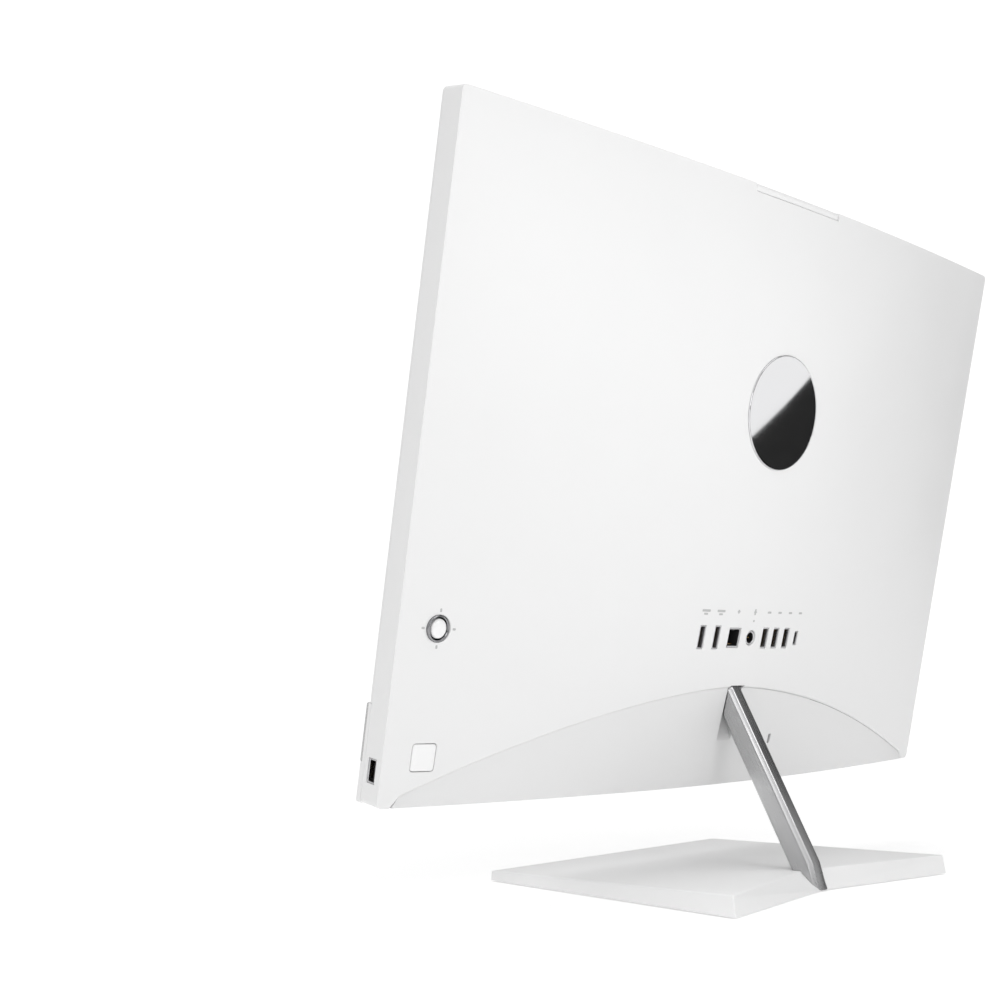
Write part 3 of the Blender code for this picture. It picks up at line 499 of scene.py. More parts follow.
def shell_blank(depth, inset, front_d, h_lines, x_steps):
    """Closed block under a curved back, with round corners; its ridge edges get a bevel weight."""
    bm = new_bmesh()
    half = PANEL_W / 2
    fillet = [CORNER_R * (1 - math.sin(math.pi / 2 * k / 4)) for k in range(4, 0, -1)]
    x_lines = [-half + r for r in fillet] + spread(-half + CORNER_R, half - CORNER_R, x_steps)
    x_lines += [half - r for r in reversed(fillet)]
    scale_x = (half - inset) / half
    scale_h = (PANEL_H - 2 * inset) / PANEL_H
    grid = []
    front = []
    for x in x_lines:
        column = []
        front_column = []
        for h in h_lines:
            px, ph = round_corner(x, h)
            column.append(bm.verts.new((px * scale_x, depth(px, ph) - inset, inset + ph * scale_h)))
            front_column.append((px * scale_x, front_d, inset + ph * scale_h))
        grid.append(column)
        front.append(front_column)
    rim = perimeter(grid)
    front_rim = [bm.verts.new(p) for p in perimeter(front)]
    for i in range(len(grid) - 1):
        for j in range(len(h_lines) - 1):
            bm.faces.new((grid[i][j], grid[i + 1][j], grid[i + 1][j + 1], grid[i][j + 1]))
    count = len(rim)
    for k in range(count):
        m = (k + 1) % count
        bm.faces.new((rim[k], rim[m], front_rim[m], front_rim[k]))
    bm.faces.new(front_rim)
    layer = bm.edges.layers.float["bevel_weight_edge"]
    for k in range(count):
        bm.edges.get((rim[k], rim[(k + 1) % count]))[layer] = 1.0
    return bm


def round_corner(x, h):
    """Bend the square grid's corner cells on to the panel's corner circle."""
    half = PANEL_W / 2
    center_h = CORNER_R if h < CORNER_R else PANEL_H - CORNER_R
    u = (abs(x) - (half - CORNER_R)) / CORNER_R
    v = abs(h - center_h) / CORNER_R
    in_corner = u > 0 and (h < CORNER_R or h > PANEL_H - CORNER_R)
    if not in_corner:
        return x, h
    bent_u = u * math.sqrt(1 - v * v / 2)
    bent_v = v * math.sqrt(1 - u * u / 2)
    side = math.copysign(1.0, h - center_h)
    return (math.copysign(half - CORNER_R + bent_u * CORNER_R, x),
            center_h + side * bent_v * CORNER_R)


def perimeter(grid):
    bottom = [column[0] for column in grid]
    right = grid[-1][1:]
    top = [column[-1] for column in reversed(grid[:-1])]
    left = list(reversed(grid[0][1:-1]))
    return bottom + right + top + left


def edge_lines(low, high, steps, with_top=True):
    """Grid heights with extra lines in the round corners."""
    fillet = [CORNER_R * (1 - math.cos(math.pi / 2 * k / 4)) for k in range(4)]
    lines = fillet + spread(low, high, steps)
    if with_top:
        lines += [PANEL_H - r for r in reversed(fillet)]
    return lines


def surface_cutter(bm, outline, low_d, depth, chamfer):
    """Cutter through the back whose mouth has a small chamfer that follows the surface."""
    wide = grow(outline, chamfer)
    floor = low_d if callable(low_d) else lambda a, b: low_d
    loft([
        [(a, floor(a, b), b) for a, b in outline],
        [(a, depth(a, b) - chamfer, b) for a, b in outline],
        [(a, depth(a, b), b) for a, b in wide],
        [(a, THROUGH_D, b) for a, b in wide],
    ], bm)


# Display covers

def arch_outline(shrink, steps=120):
    half = ARCH_HALF_W - shrink
    foot = ARCH_HALF_W + 10.0 - shrink
    points = [(x, arch_height(x) - shrink) for x in spread(half, -half, steps)]
    return [(foot, -5.0)] + points + [(-foot, -5.0)]


def sweep_outline(clearance):
    """What the arm sweeps as the display tilts, in d and h."""
    low = ARM_LEAN - TILT_DOWN
    high = ARM_LEAN + TILT_UP

    def point(swing, along, square):
        return (PIVOT_D + along * math.sin(swing) + square * math.cos(swing),
                PIVOT_H - along * math.cos(swing) + square * math.sin(swing))

    return [point(high, 0.0, ARM_REAR + clearance), point(low, -12.0, -ARM_FRONT - clearance),
            point(low, 60.0, -ARM_FRONT - clearance), point(high, 60.0, ARM_REAR + clearance)]


def make_rear_cover():
    lines = edge_lines(CORNER_R, PANEL_H - CORNER_R, 68)
    cover = add_object("rear_cover_shell", shell_blank(back_depth, 0.0, RIM_D, lines, 96))
    bevel(cover, RIDGE_R, 6)
    inner_lines = edge_lines(CORNER_R, PANEL_H - CORNER_R, 16)
    boolean(cover, shell_blank(back_depth, WALL, RIM_D - 3, inner_lines, 24))
    arch = new_bmesh()
    surface_cutter(arch, arch_outline(0.0), ARCH_FRONT_D, back_depth, 1.2)
    boolean(cover, arch)
    boolean(cover, rear_cutters())
    half = ARM_HALF_W + 0.8
    boolean(cover, stack([(sweep_outline(0.4), -half), (sweep_outline(0.4), half)], along_x))
    apply_modifiers(cover)
    piece(cover, "display", "shell", ["rear_cover"])
    follow_surface(cover, back_depth)


def rear_cutters():
    bm = new_bmesh()
    box((-CAM_HALF_W - CAM_GAP_RIGHT, -8.0, CAM_CAP_H - CAM_GAP_UNDER),
        (CAM_HALF_W + CAM_GAP_LEFT, 60.0, PANEL_H + 10.0), bm)
    for _, x, (width, height), _, _ in SOCKETS:
        outline = rounded(width / 2, height / 2, 0.6, (x, SOCKET_H))
        surface_cutter(bm, outline, SOCKET_CUT_D, back_depth, 0.35)
    power_hole = circle(DC_R + 0.4, 40, (DC_X, SOCKET_H))
    surface_cutter(bm, power_hole, SOCKET_CUT_D, back_depth, 0.35)
    surface_cutter(bm, circle(JOY_RING_R + 0.15, 64, JOY), -1.0, back_depth, 0.1)
    button = rounded(BUTTON_HALF + 0.5, BUTTON_HALF + 0.5, BUTTON_R + 0.4, BUTTON)
    surface_cutter(bm, button, -1.0, back_depth, 0.3)
    recess = circle(BADGE_R + 0.12, 96, (0.0, BADGE_H))
    surface_cutter(bm, recess, badge_plane(0.0), back_depth, 0.12)
    side = rounded(3.7, 7.7, 0.6, (SIDE_USB_D, SIDE_USB_H))
    wall = PANEL_W / 2
    mouth = grow(side, 0.3)
    stack([(side, wall - 6.0), (side, wall - 0.3), (mouth, wall), (mouth, wall + 3)], along_x, bm)
    return bm


def make_lower_cover():
    lines = edge_lines(CORNER_R, 100.0, 24, False) + [PANEL_H]
    cover = add_object("lower_cover_shell", shell_blank(lower_depth, 0.0, RIM_D, lines, 120))
    bevel(cover, RIDGE_R, 6)
    inner_lines = [0.0, CORNER_R] + spread(22.0, 100.0, 5) + [PANEL_H]
    boolean(cover, shell_blank(lower_depth, WALL, RIM_D - 3, inner_lines, 24))
    keeper = arch_outline(GAP)
    boolean(cover, stack([(keeper, ARCH_FRONT_D + GAP), (keeper, 70.0)]), "INTERSECT")
    half = ARM_HALF_W + 0.8
    boolean(cover, stack([(sweep_outline(0.8), -half), (sweep_outline(0.8), half)], along_x))
    cuts = new_bmesh()
    surface_cutter(cuts, rounded(1.6, 3.6, 0.8, LOCK), 5.0, lower_depth, 0.3)
    for side in (-1, 1):
        for k in range(26):
            x = side * (42.0 + k * 7.2)
            low_d, high_d = -6.0, edge_crown(x) - 5.5
            slot = rounded(1.3, (high_d - low_d) / 2, 1.2, (x, (low_d + high_d) / 2))
            stack([(slot, -2.0), (slot, 4.0)], along_h, cuts)
    boolean(cover, cuts)
    apply_modifiers(cover)
    # The greyer white here is painted shade for the downward-facing lower cover.
    piece(cover, "display", "lower", ["lower_cover"])
    follow_surface(cover, lower_depth)


def make_recess_liner():
    """White walls inside the slot that the arm comes out of."""
    low = ARM_LEAN - TILT_DOWN
    wall_x = ARM_HALF_W + 0.9

    def behind(along, clear):
        square = -ARM_FRONT - clear
        return (PIVOT_D + along * math.sin(low) + square * math.cos(low),
                PIVOT_H - along * math.cos(low) + square * math.sin(low))

    sheet = [behind(4.0, 1.0), behind(37.5, 1.0), behind(37.5, 1.7), behind(4.0, 1.7)]
    bm = stack([(sheet, -wall_x - 0.5), (sheet, wall_x + 0.5)], along_x)
    cheek = [behind(4.0, 0.9), behind(37.5, 0.9)]
    cheek += [(lower_depth(wall_x, h) - 1.0, h) for h in spread(37.0, 67.0, 6)]
    for side in (-1, 1):
        near, far = sorted((side * wall_x, side * (wall_x + 0.5)))
        stack([(cheek, near), (cheek, far)], along_x, bm)
    # The liner takes the lower cover's greyer white, the same painted shade.
    piece(add_object("arm_recess_liner", bm), "display", "lower")


def make_front():
    """Screen frame, screen and the bar with the speaker cloth."""
    half = PANEL_W / 2
    low_h = CHIN_H + GAP
    center = (0.0, (low_h + PANEL_H) / 2)
    half_h = (PANEL_H - low_h) / 2
    inner_center = (0.0, ACTIVE_TOP_H - ACTIVE_H / 2)

    def outer(shrink):
        points = rounded(half - shrink, half_h - shrink, CORNER_R, center)
        return [(a, b) if b > center[1] else (math.copysign(half - shrink, a), low_h + shrink)
                for a, b in points]

    def inner(growth):
        return rounded(ACTIVE_W / 2 + growth, ACTIVE_H / 2 + growth, 1.0, inner_center)

    back_d = RIM_D - HAIRLINE
    loops = [(outer(0.0), back_d), (outer(0.0), BEZEL_FRONT_D + 0.6),
             (outer(0.2), BEZEL_FRONT_D + 0.2), (outer(0.6), BEZEL_FRONT_D),
             (inner(0.5), BEZEL_FRONT_D), (inner(0.0), BEZEL_FRONT_D + 0.5), (inner(0.0), back_d)]
    frame_piece = add_object("screen_frame", stack(loops, wrap=True))
    piece(frame_piece, "display", "bezel", ["front_bezel"])
    second_material(frame_piece, "shell", lambda x, d, h: on_outer_side(x, d, h, inner_center[1]))

    bm = stack([(rounded(301.4, 175.7, 1.5, (0.0, 240.35)), -9.9),
                (rounded(301.4, 175.7, 1.5, (0.0, 240.35)), RIM_D + 0.3),
                (rounded(301.1, 175.4, 1.2, (0.0, 240.35)), RIM_D)])
    piece(add_object("screen_glass", bm), "display", "screen", ["lcd_panel"])

    bar = rounded(half, CHIN_H / 2, 1.2, (0.0, CHIN_H / 2))
    bar_in = rounded(half - 0.5, CHIN_H / 2 - 0.5, 1.0, (0.0, CHIN_H / 2))
    bm = stack([(bar_in, back_d), (bar, back_d - 0.5), (bar, CHIN_FRONT_D + 0.9),
                (bar_in, CHIN_FRONT_D + 0.4)])
    body = add_object("speaker_bar_body", bm)
    recess = rounded(half + 2.0, 18.6, 0.5, (0.0, 43.1))
    boolean(body, stack([(recess, CHIN_FRONT_D - 2.0), (recess, CHIN_FRONT_D + 2.2)]))
    piece(body, "display", "shell")
    cloth = rounded(half, 18.3, 1.0, (0.0, 43.1))
    cloth_in = rounded(half - 0.9, 17.4, 0.8, (0.0, 43.1))
    bm = stack([(cloth, CHIN_FRONT_D + 2.1), (cloth, CHIN_FRONT_D + 0.8),
                (rounded(half - 0.25, 18.05, 0.9, (0.0, 43.1)), CHIN_FRONT_D + 0.25),
                (cloth_in, CHIN_FRONT_D)])
    piece(add_object("speaker_cloth", bm), "display", "cloth", ["speaker_bar"])


def on_outer_side(x, d, h, middle):
    """Whether a point lies on the frame's outer wall, which continues the display's white side."""
    outside = abs(x) > ACTIVE_W / 2 + 1.5 or abs(h - middle) > ACTIVE_H / 2 + 1.5
    return outside and d > BEZEL_FRONT_D + 0.05


# Badge, camera and controls

def badge_plane(t):
    """A depth t above the recess floor; the recess leans with the display's back."""
    level = back_depth(0.0, BADGE_H) - BADGE_RECESS + t
    return lambda x, h: level - BADGE_LEAN * (h - BADGE_H)


def badge_turned(profile):
    """Turned badge piece on the leaning recess floor, from (radius, height) points."""
    bm = lathe(profile, segments=128, center=(0.0, BADGE_H))
    for vert in bm.verts:
        vert.co.y = badge_plane(vert.co.y)(vert.co.x, vert.co.z)
    return bm


def make_badge():
    """Plain polished medallion: a thin rim round a gently domed face."""
    face_r = BADGE_R - 0.7
    rim = [(face_r - 0.4, 0.35), (BADGE_R - 0.1, 0.35), (BADGE_R, 0.5), (BADGE_R, 1.3),
           (BADGE_R - 0.1, 1.45), (BADGE_R - 0.3, 1.52), (BADGE_R - 0.55, 1.5), (face_r, 1.4)]
    piece(add_object("badge_rim", badge_turned(rim)), "display", "badge")
    dome = [(0, 0.4), (face_r - 0.08, 0.4)]
    dome += [(face_r * math.cos(a) - 0.08, 1.42 + 0.75 * math.sin(a) ** 2)
             for a in spread(0.0, math.pi / 2 * 0.96, 14)]
    dome += [(0, 2.17)]
    piece(add_object("badge_face", badge_turned(dome)), "display", "badge", ["badge_disc"])


def make_camera():
    """Pop-up camera: a white cap over a black plastic tail with a gloss window and a lens."""
    xs = spread(CAM_HALF_W, -CAM_HALF_W, 32)
    rear = [(x, edge_crown(x)) for x in xs]
    cap = [(CAM_HALF_W, CAM_FRONT_D)] + rear + [(-CAM_HALF_W, CAM_FRONT_D)]
    bm = stack([(cap, CAM_CAP_H), (cap, PANEL_H)], along_h)
    layer = bm.edges.layers.float["bevel_weight_edge"]
    for edge in bm.edges:
        if all(v.co.z > CAM_CAP_H + 1.0 and v.co.y > 5.0 for v in edge.verts):
            edge[layer] = 1.0
    body = add_object("camera_cap", bm)
    bevel(body, RIDGE_R - 0.6, 6)
    bevel(body, 0.25, 2, 50)
    piece(body, "webcam", "shell", ["webcam_body"])
    tail = rounded(46.0, 8.8, 1.2, (0.0, 3.2))
    bm = stack([(rounded(45.6, 8.4, 1.0, (0.0, 3.2)), CAM_H - 28.0), (tail, CAM_H - 27.6),
                (tail, CAM_CAP_H + 0.02)], along_h)
    piece(add_object("camera_tail", bm), "webcam", "black")
    front = CAM_FRONT_D + 0.1
    window = rounded(30.0, 4.6, 4.4, (0.0, CAM_LENS_H), 12)
    bm = stack([(window, CAM_FRONT_D + 0.9), (window, front + 0.3),
                (grow(window, -0.2), front + 0.05)])
    piece(add_object("camera_window", bm), "webcam", "lens", ["webcam_window"])
    profile = [(1.9, 0.02), (2.3, -0.08), (3.2, -0.08), (3.4, 0.02), (3.4, 0.15), (1.9, 0.15)]
    bm = lathe([(r, front + t) for r, t in profile], center=(0.0, CAM_LENS_H))
    piece(add_object("camera_lens_ring", bm), "webcam", "ring")
    profile = [(0, 0.15), (1.85, 0.15), (1.85, 0.0)]
    profile += [(1.85 * math.cos(a), -0.18 * math.sin(a))
                for a in spread(0.2, math.pi / 2 * 0.9, 5)]
    profile += [(0, -0.18)]
    bm = lathe([(r, front + t) for r, t in profile], segments=32, center=(0.0, CAM_LENS_H))
    piece(add_object("camera_lens", bm), "webcam", "lens", ["webcam_lens"])
    bm = new_bmesh()
    for x in (-22.0, -14.0, 14.0, 22.0):
        lathe([(0, front + 0.1), (0.7, front + 0.1), (0.7, front - 0.02), (0, front - 0.04)],
              segments=16, center=(x, CAM_LENS_H), bm=bm)
    piece(add_object("camera_sensor_dots", bm), "webcam", "groove")


def make_button():
    x, h = BUTTON
    level = back_depth(x, h)
    sections = []
    for scale, t in ((1.0, -2.6), (1.0, -0.45), (0.985, -0.2), (0.955, -0.02), (0.90, 0.08),
                     (0.6, 0.13), (0.2, 0.15)):
        half = BUTTON_HALF * scale
        sections.append((rounded(half, half, BUTTON_R * scale, BUTTON), t))
    tilted = [[(a, level + t + slope_fit(a, b, level), b) for a, b in outline]
              for outline, t in sections]
    piece(add_object("power_button_cap", loft(tilted)), "power_button", "button",
          ["power_button"])
    outer = rounded(BUTTON_HALF + 1.6, BUTTON_HALF + 1.6, BUTTON_R + 1.2, BUTTON)
    bm = stack([(outer, level - 3.6), (outer, level - 2.95)])
    piece(add_object("button_groove_floor", bm), "display", "groove")


def slope_fit(x, h, level):
    """Lean a flat top by the slope of the back under it, and no more."""
    return max(min(back_depth(x, h) - level, 1.2), -1.2)


def make_joystick():
    x, h = JOY
    level = back_depth(x, h)
    ring = [(JOY_RING_IN_R, -3.4), (JOY_RING_R, -3.4), (JOY_RING_R, 0.0), (JOY_RING_R - 0.15, 0.25),
            (JOY_RING_R - 0.4, 0.4), (JOY_RING_R - 0.8, 0.45), (JOY_RING_IN_R + 0.3, 0.3),
            (JOY_RING_IN_R, -0.1)]
    bm = lathe([(r, level + t) for r, t in ring], segments=96, center=JOY)
    piece(add_object("joystick_trim_ring", bm), "display", "ring", ["joystick_ring"])
    low = level - 2.0
    top = [(JOY_CAP_R - 4.6, 3.62), (JOY_CAP_R - 3.2, 3.68), (JOY_CAP_R - 2.2, 3.55),
           (JOY_CAP_R - 1.2, 3.15), (JOY_CAP_R - 0.5, 2.65), (JOY_CAP_R - 0.1, 2.1),
           (JOY_CAP_R, 1.5)]
    cap = [(0, low + 3.6)] + [(r, low + t) for r, t in top]
    cap += [(JOY_CAP_R, low), (1.2, low), (1.2, -3.0), (0, -3.0)]
    bm = lathe(cap, segments=96, center=JOY)
    piece(add_object("joystick_dome", bm), "joystick_cap", "button", ["joystick_cap"])


# Sockets

def tongue(bm, low, high, x, d0, d1, contact_bm, contacts, side):
    """Plastic tongue of a socket with metal contacts on one face."""
    box((low, d0, x[0]), (high, d1, x[1]), bm)
    face = high if side > 0 else low
    pitch = (x[1] - x[0]) / contacts
    for k in range(contacts):
        middle = x[0] + pitch * (k + 0.5)
        box((face - 0.06, d0, middle - pitch * 0.3), (face + 0.06, d1 - 0.8, middle + pitch * 0.3),
            contact_bm)


def make_sockets():
    tongues = new_bmesh()
    contacts = new_bmesh()
    for name, x, (width, height), (cav_w, cav_h), depth in SOCKETS:
        mouth = back_depth(x, SOCKET_H) - SOCKET_SUNK
        center = (x, SOCKET_H)
        half_w, half_h = width / 2 - GAP, height / 2 - GAP
        radius = 1.35 if name == "usb_c_socket" else 0.5
        outer = rounded(half_w, half_h, min(radius + 0.5, half_w - 0.1), center)
        inner = rounded(cav_w / 2, cav_h / 2, radius, center)
        if name.startswith("hdmi"):
            inner = [(a - 1.3 * max(0.0, abs(b - SOCKET_H) - 5.2) / 2.2 if a > x else a, b)
                     for a, b in inner]
        floor_d = mouth - depth
        slope = [(a, back_depth(a, b) - SOCKET_SUNK, b) for a, b in outer]
        lip = [(a, back_depth(a, b) - SOCKET_SUNK, b) for a, b in grow(inner, 0.2)]
        bm = loft([[(a, IO_BOARD_REAR_D + GAP, b) for a, b in outer], slope, lip,
                   [(a, mouth - 0.9, b) for a, b in inner], [(a, floor_d, b) for a, b in inner]])
        shell = piece(add_object(name + "_shell", bm), "display", "socket", [name])
        if name == "lan_socket":
            second_material(shell, "black", lambda x, d, h: d < mouth - 0.4)
        h0, h1 = SOCKET_H - cav_h / 2 + 1.0, SOCKET_H + cav_h / 2 - 1.0
        if name.startswith("usb_a"):
            tongue(tongues, x + 0.3, x + 2.1, (h0, h1), floor_d, mouth - 1.6, contacts, 4, -1)
        elif name.startswith("hdmi"):
            tongue(tongues, x - 0.2, x + 0.9, (h0 + 0.6, h1 - 0.6), floor_d, mouth - 2.0,
                   contacts, 9, -1)
        elif name == "usb_c_socket":
            tongue(tongues, x - 0.35, x + 0.35, (h0 + 0.2, h1 - 0.2), floor_d, mouth - 0.9,
                   contacts, 6, 1)
        else:
            box((x - 2.0, floor_d, h1 + 0.2), (x + 2.0, mouth - 1.0, h1 + 0.95), tongues)
            for k in range(8):
                pin_x = x - 3.6 + k * 1.02
                box((pin_x - 0.17, floor_d, h0 - 0.3), (pin_x + 0.17, mouth - 3.0, h0 + 0.05),
                    contacts)
    wall = PANEL_W / 2
    side = rounded(3.4, 7.4, 0.9, (SIDE_USB_D, SIDE_USB_H))
    cavity = rounded(2.7, 6.5, 0.4, (SIDE_USB_D, SIDE_USB_H))
    bm = stack([(side, wall - 15.6), (side, wall - 0.6), (grow(cavity, 0.2), wall - 0.6),
                (cavity, wall - 0.9), (cavity, wall - 12.6)], along_x)
    piece(add_object("side_usb_shell", bm), "display", "socket",
          ["side_usb_socket"])
    d0 = SIDE_USB_D
    box((wall - 12.6, d0 + 0.1, SIDE_USB_H - 5.4), (wall - 2.4, d0 + 1.9, SIDE_USB_H + 5.4),
        tongues)
    for k in range(4):
        h = SIDE_USB_H - 3.9 + k * 2.6
        box((wall - 12.6, d0 + 0.04, h - 0.5), (wall - 3.2, d0 + 0.16, h + 0.5), contacts)
    make_power_inlet(contacts)
    piece(add_object("socket_tongues", tongues), "display", "black")
    piece(add_object("socket_contacts", contacts), "display", "gold")


def make_power_inlet(contacts):
    mouth = back_depth(DC_X, SOCKET_H) - 0.6
    center = (DC_X, SOCKET_H)
    profile = [(0, IO_BOARD_REAR_D + GAP), (DC_R, IO_BOARD_REAR_D + GAP), (DC_R, mouth - 0.3),
               (DC_R - 0.3, mouth), (DC_CAVITY_R + 0.3, mouth), (DC_CAVITY_R, mouth - 0.3),
               (DC_CAVITY_R, mouth - DC_DEPTH), (0, mouth - DC_DEPTH)]
    body = piece(add_object("power_inlet_body", lathe(profile, segments=64, center=center)),
                 "display", "socket", ["dc_inlet"])
    second_material(body, "black", lambda x, d, h: d < mouth - 0.2)
    pin = [(0, mouth - DC_DEPTH), (0.6, mouth - DC_DEPTH), (0.6, mouth - 2.0), (0.35, mouth - 1.6),
           (0, mouth - 1.5)]
    lathe(pin, segments=24, center=center, bm=contacts)


def make_marks():
    """Faint plain bars and dots printed above the sockets and round the joystick."""
    bm = new_bmesh()
    thin = 0.04

    def mark(half_w, half_h, x, h, radius):
        outline = rounded(half_w, half_h, radius, (x, h), 3)
        loft([[(a, back_depth(a, b) - thin, b) for a, b in outline],
              [(a, back_depth(a, b) + thin, b) for a, b in outline]], bm)

    row_h = 130.2
    for x in (52.6, 36.2):
        mark(4.4, 0.85, x, row_h, 0.6)
        mark(2.1, 0.7, x, row_h - 2.3, 0.5)
    for x, half_h in ((16.1, 1.4), (DC_X, 2.2)):
        mark(0.9, half_h, x, row_h, 0.6)
        mark(1.6, 0.6, x, row_h, 0.5)
    for x in (-21.3, -34.9, -48.9, -62.7):
        mark(2.2, 0.75, x, row_h, 0.6)
    mark(0.8, 0.8, DC_X, SOCKET_H + 12.5, 0.55)
    for dx, dh in ((0.0, 11.2), (0.0, -11.2), (10.9, 0.0), (-10.9, 0.0)):
        mark(0.7 if dh else 1.1, 1.1 if dh else 0.7, JOY[0] + dx, JOY[1] + dh, 0.4)
    piece(add_object("printed_marks", bm), "display", "print")


# Stand

def tilt_pivot():
    place = PANEL @ (Vector((0.0, PIVOT_D, PIVOT_H)) * MM)
    return place.y / MM, place.z / MM


def arm_point(height, square):
    y, z = tilt_pivot()
    along = (z + square * math.sin(ARM_LEAN) - height) / math.cos(ARM_LEAN)
    return (y + along * math.sin(ARM_LEAN) + square * math.cos(ARM_LEAN), height)


def arm_ring(front, rear, half_w, chamfer):
    length = math.hypot(rear[0] - front[0], rear[1] - front[1])
    share = chamfer / length
    section = [(half_w - chamfer, 0.0), (half_w, share), (half_w, 1 - share),
               (half_w - chamfer, 1.0)]
    section += [(-x, t) for x, t in reversed(section)]
    return [(x, front[0] + (rear[0] - front[0]) * t, front[1] + (rear[1] - front[1]) * t)
            for x, t in section]


def arm_loops(clearance):
    y, z = tilt_pivot()
    half_w = ARM_HALF_W + clearance
    front, rear = ARM_FRONT + clearance, ARM_REAR + clearance

    def near_pivot(along, square):
        return (y + along * math.sin(ARM_LEAN) + square * math.cos(ARM_LEAN),
                z - along * math.cos(ARM_LEAN) + square * math.sin(ARM_LEAN))

    stations = [
        (arm_point(5.0 - clearance, -front), (86.7 + clearance, 1.0 - clearance), ARM_CHAMFER),
        (arm_point(14.0, -front), arm_point(20.0, rear), ARM_CHAMFER),
        (near_pivot(9.0, -front), near_pivot(9.0, rear), ARM_CHAMFER),
        (near_pivot(0.0, -5.0), near_pivot(0.0, 5.0), 0.6),
    ]
    return [arm_ring(a, b, half_w, chamfer) for a, b, chamfer in stations]


def make_arm():
    y, z = tilt_pivot()
    bm = loft(arm_loops(0.0))
    layer = bm.edges.layers.float["bevel_weight_edge"]
    for edge in bm.edges:
        low, high = sorted(v.co.z for v in edge.verts)
        if high - low > 5.0 and abs(edge.verts[0].co.x - edge.verts[1].co.x) < 1.0:
            edge[layer] = 1.0
    arm = add_object("stand_arm_bar", bm, WORLD)
    bevel(arm, 0.7, 3)
    knuckle = circle(ARM_REAR, 64, (y, z))
    boolean(arm, stack([(knuckle, -ARM_HALF_W + 0.2), (knuckle, ARM_HALF_W - 0.2)], along_x),
            "UNION", WORLD)
    bore = circle(SHAFT_R + GAP, 48, (y, z))
    boolean(arm, stack([(bore, -20.0), (bore, 20.0)], along_x), matrix=WORLD)
    piece(arm, "stand", "arm", ["stand_arm"], 20.0)


def make_base():
    half = 131.0

    def top_z(y):
        return 11.2 + 0.0315 * y

    low = [(-half, -108.0), (half, -108.0), (half, 108.2), (0.0, 86.5), (-half, 108.2)]
    high = [(-half + 0.6, -107.8), (half - 0.6, -107.8), (half - 0.8, 105.6), (0.0, 71.0),
            (-half + 0.8, 105.6)]
    bm = new_bmesh()
    bottom = [bm.verts.new((x, y, 1.0)) for x, y in low]
    top = [bm.verts.new((x, y, top_z(y))) for x, y in high]
    bm.faces.new(list(reversed(bottom)))
    bm.faces.new(top)
    layer = bm.edges.layers.float["bevel_weight_edge"]
    for i in range(5):
        j = (i + 1) % 5
        bm.faces.new((bottom[i], bottom[j], top[j], top[i]))
        bm.edges.get((top[i], top[j]))[layer] = 1.0
        bm.edges.get((bottom[i], bottom[j]))[layer] = 0.4
        if i != 3:
            bm.edges.get((bottom[i], top[i]))[layer] = 1.0
    base = add_object("base_slab", bm, WORLD)
    bevel(base, 1.2, 5)
    boolean(base, loft(arm_loops(GAP)), matrix=WORLD)
    cuts = new_bmesh()
    for x in (-3.7, 3.7):
        profile = [(0, -2), (3.5, -2), (3.5, 2.4), (1.9, 2.4), (1.9, 10), (0, 10)]
        lathe(profile, along_h, 32, (x, 73.5), cuts)
    boolean(base, cuts, matrix=WORLD)
    piece(base, "stand", "base", ["base_plate"], 25.0)


def make_feet_and_screws():
    feet = [(112.0, -92.0), (-112.0, -92.0), (112.0, 88.0), (-112.0, 88.0)]
    for index, center in enumerate(feet, start=1):
        profile = [(0, 0.15), (3.6, 0.15), (4.0, 0.0), (8.5, 0.0), (8.9, 0.12), (9.0, 0.4),
                   (9.0, 0.7), (0, 0.7)]
        bm = lathe(profile, along_h, 48, center)
        piece(add_object(f"rubber_foot_{index}", bm, WORLD), "stand", "rubber",
              [f"base_foot_{index}"])
    for index, x in enumerate((-3.7, 3.7), start=1):
        profile = [(0, 1.1), (2.9, 1.1), (3.2, 1.35), (3.2, 2.1), (1.6, 2.1)]
        for k in range(20):
            z = 2.6 + k * 0.6
            profile += [(1.6, z), (1.35, z + 0.3)]
        profile += [(1.2, 15.0), (0, 15.0)]
        screw = add_object(f"arm_screw_body_{index}", lathe(profile, along_h, 32, (x, 73.5)), WORLD)
        hexagon = circle(1.5, 6, (x, 73.5))
        boolean(screw, stack([(hexagon, 0.0), (hexagon, 2.0)], along_h), matrix=WORLD)
        piece(screw, "stand", "steel", [f"arm_screw_{index}"])


# Inner CAD nodes keep their shape and get a material

INNER = {
    "steel": ["hinge_shaft", "friction_washer_left", "friction_washer_right", "hinge_nut_left",
              "hinge_nut_right", "chassis_plate", "hinge_bracket_left", "hinge_bracket_right",
              "joystick_gimbal_ring"],
    "board": ["mainboard", "io_board", "control_board", "memory_module_1", "memory_module_2",
              "ssd_module", "wifi_card"],
    "copper": ["cold_plate", "heat_pipe"],
    "fins": ["heatsink_fins"],
    "black": ["speaker_left", "speaker_right", "fan_housing", "fan_rotor", "camera_rail_left",
              "camera_rail_right", "joystick_base", "joystick_stem", "power_switch"],
}


def dress_inner_nodes():
    for material, names in INNER.items():
        for name in names:
            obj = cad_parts[name]
            obj.data.materials.clear()
            obj.data.materials.append(MATERIALS[material])


# Studio

FLOOR_GLOW = 0.25                      # keeps the floor white; it lights the object too
BACKDROP_LIGHT = 1.1                   # the room as the camera sees it
DARK_SIDE = (-0.985, 0.155, 0.08)      # direction in which the room is dimmed


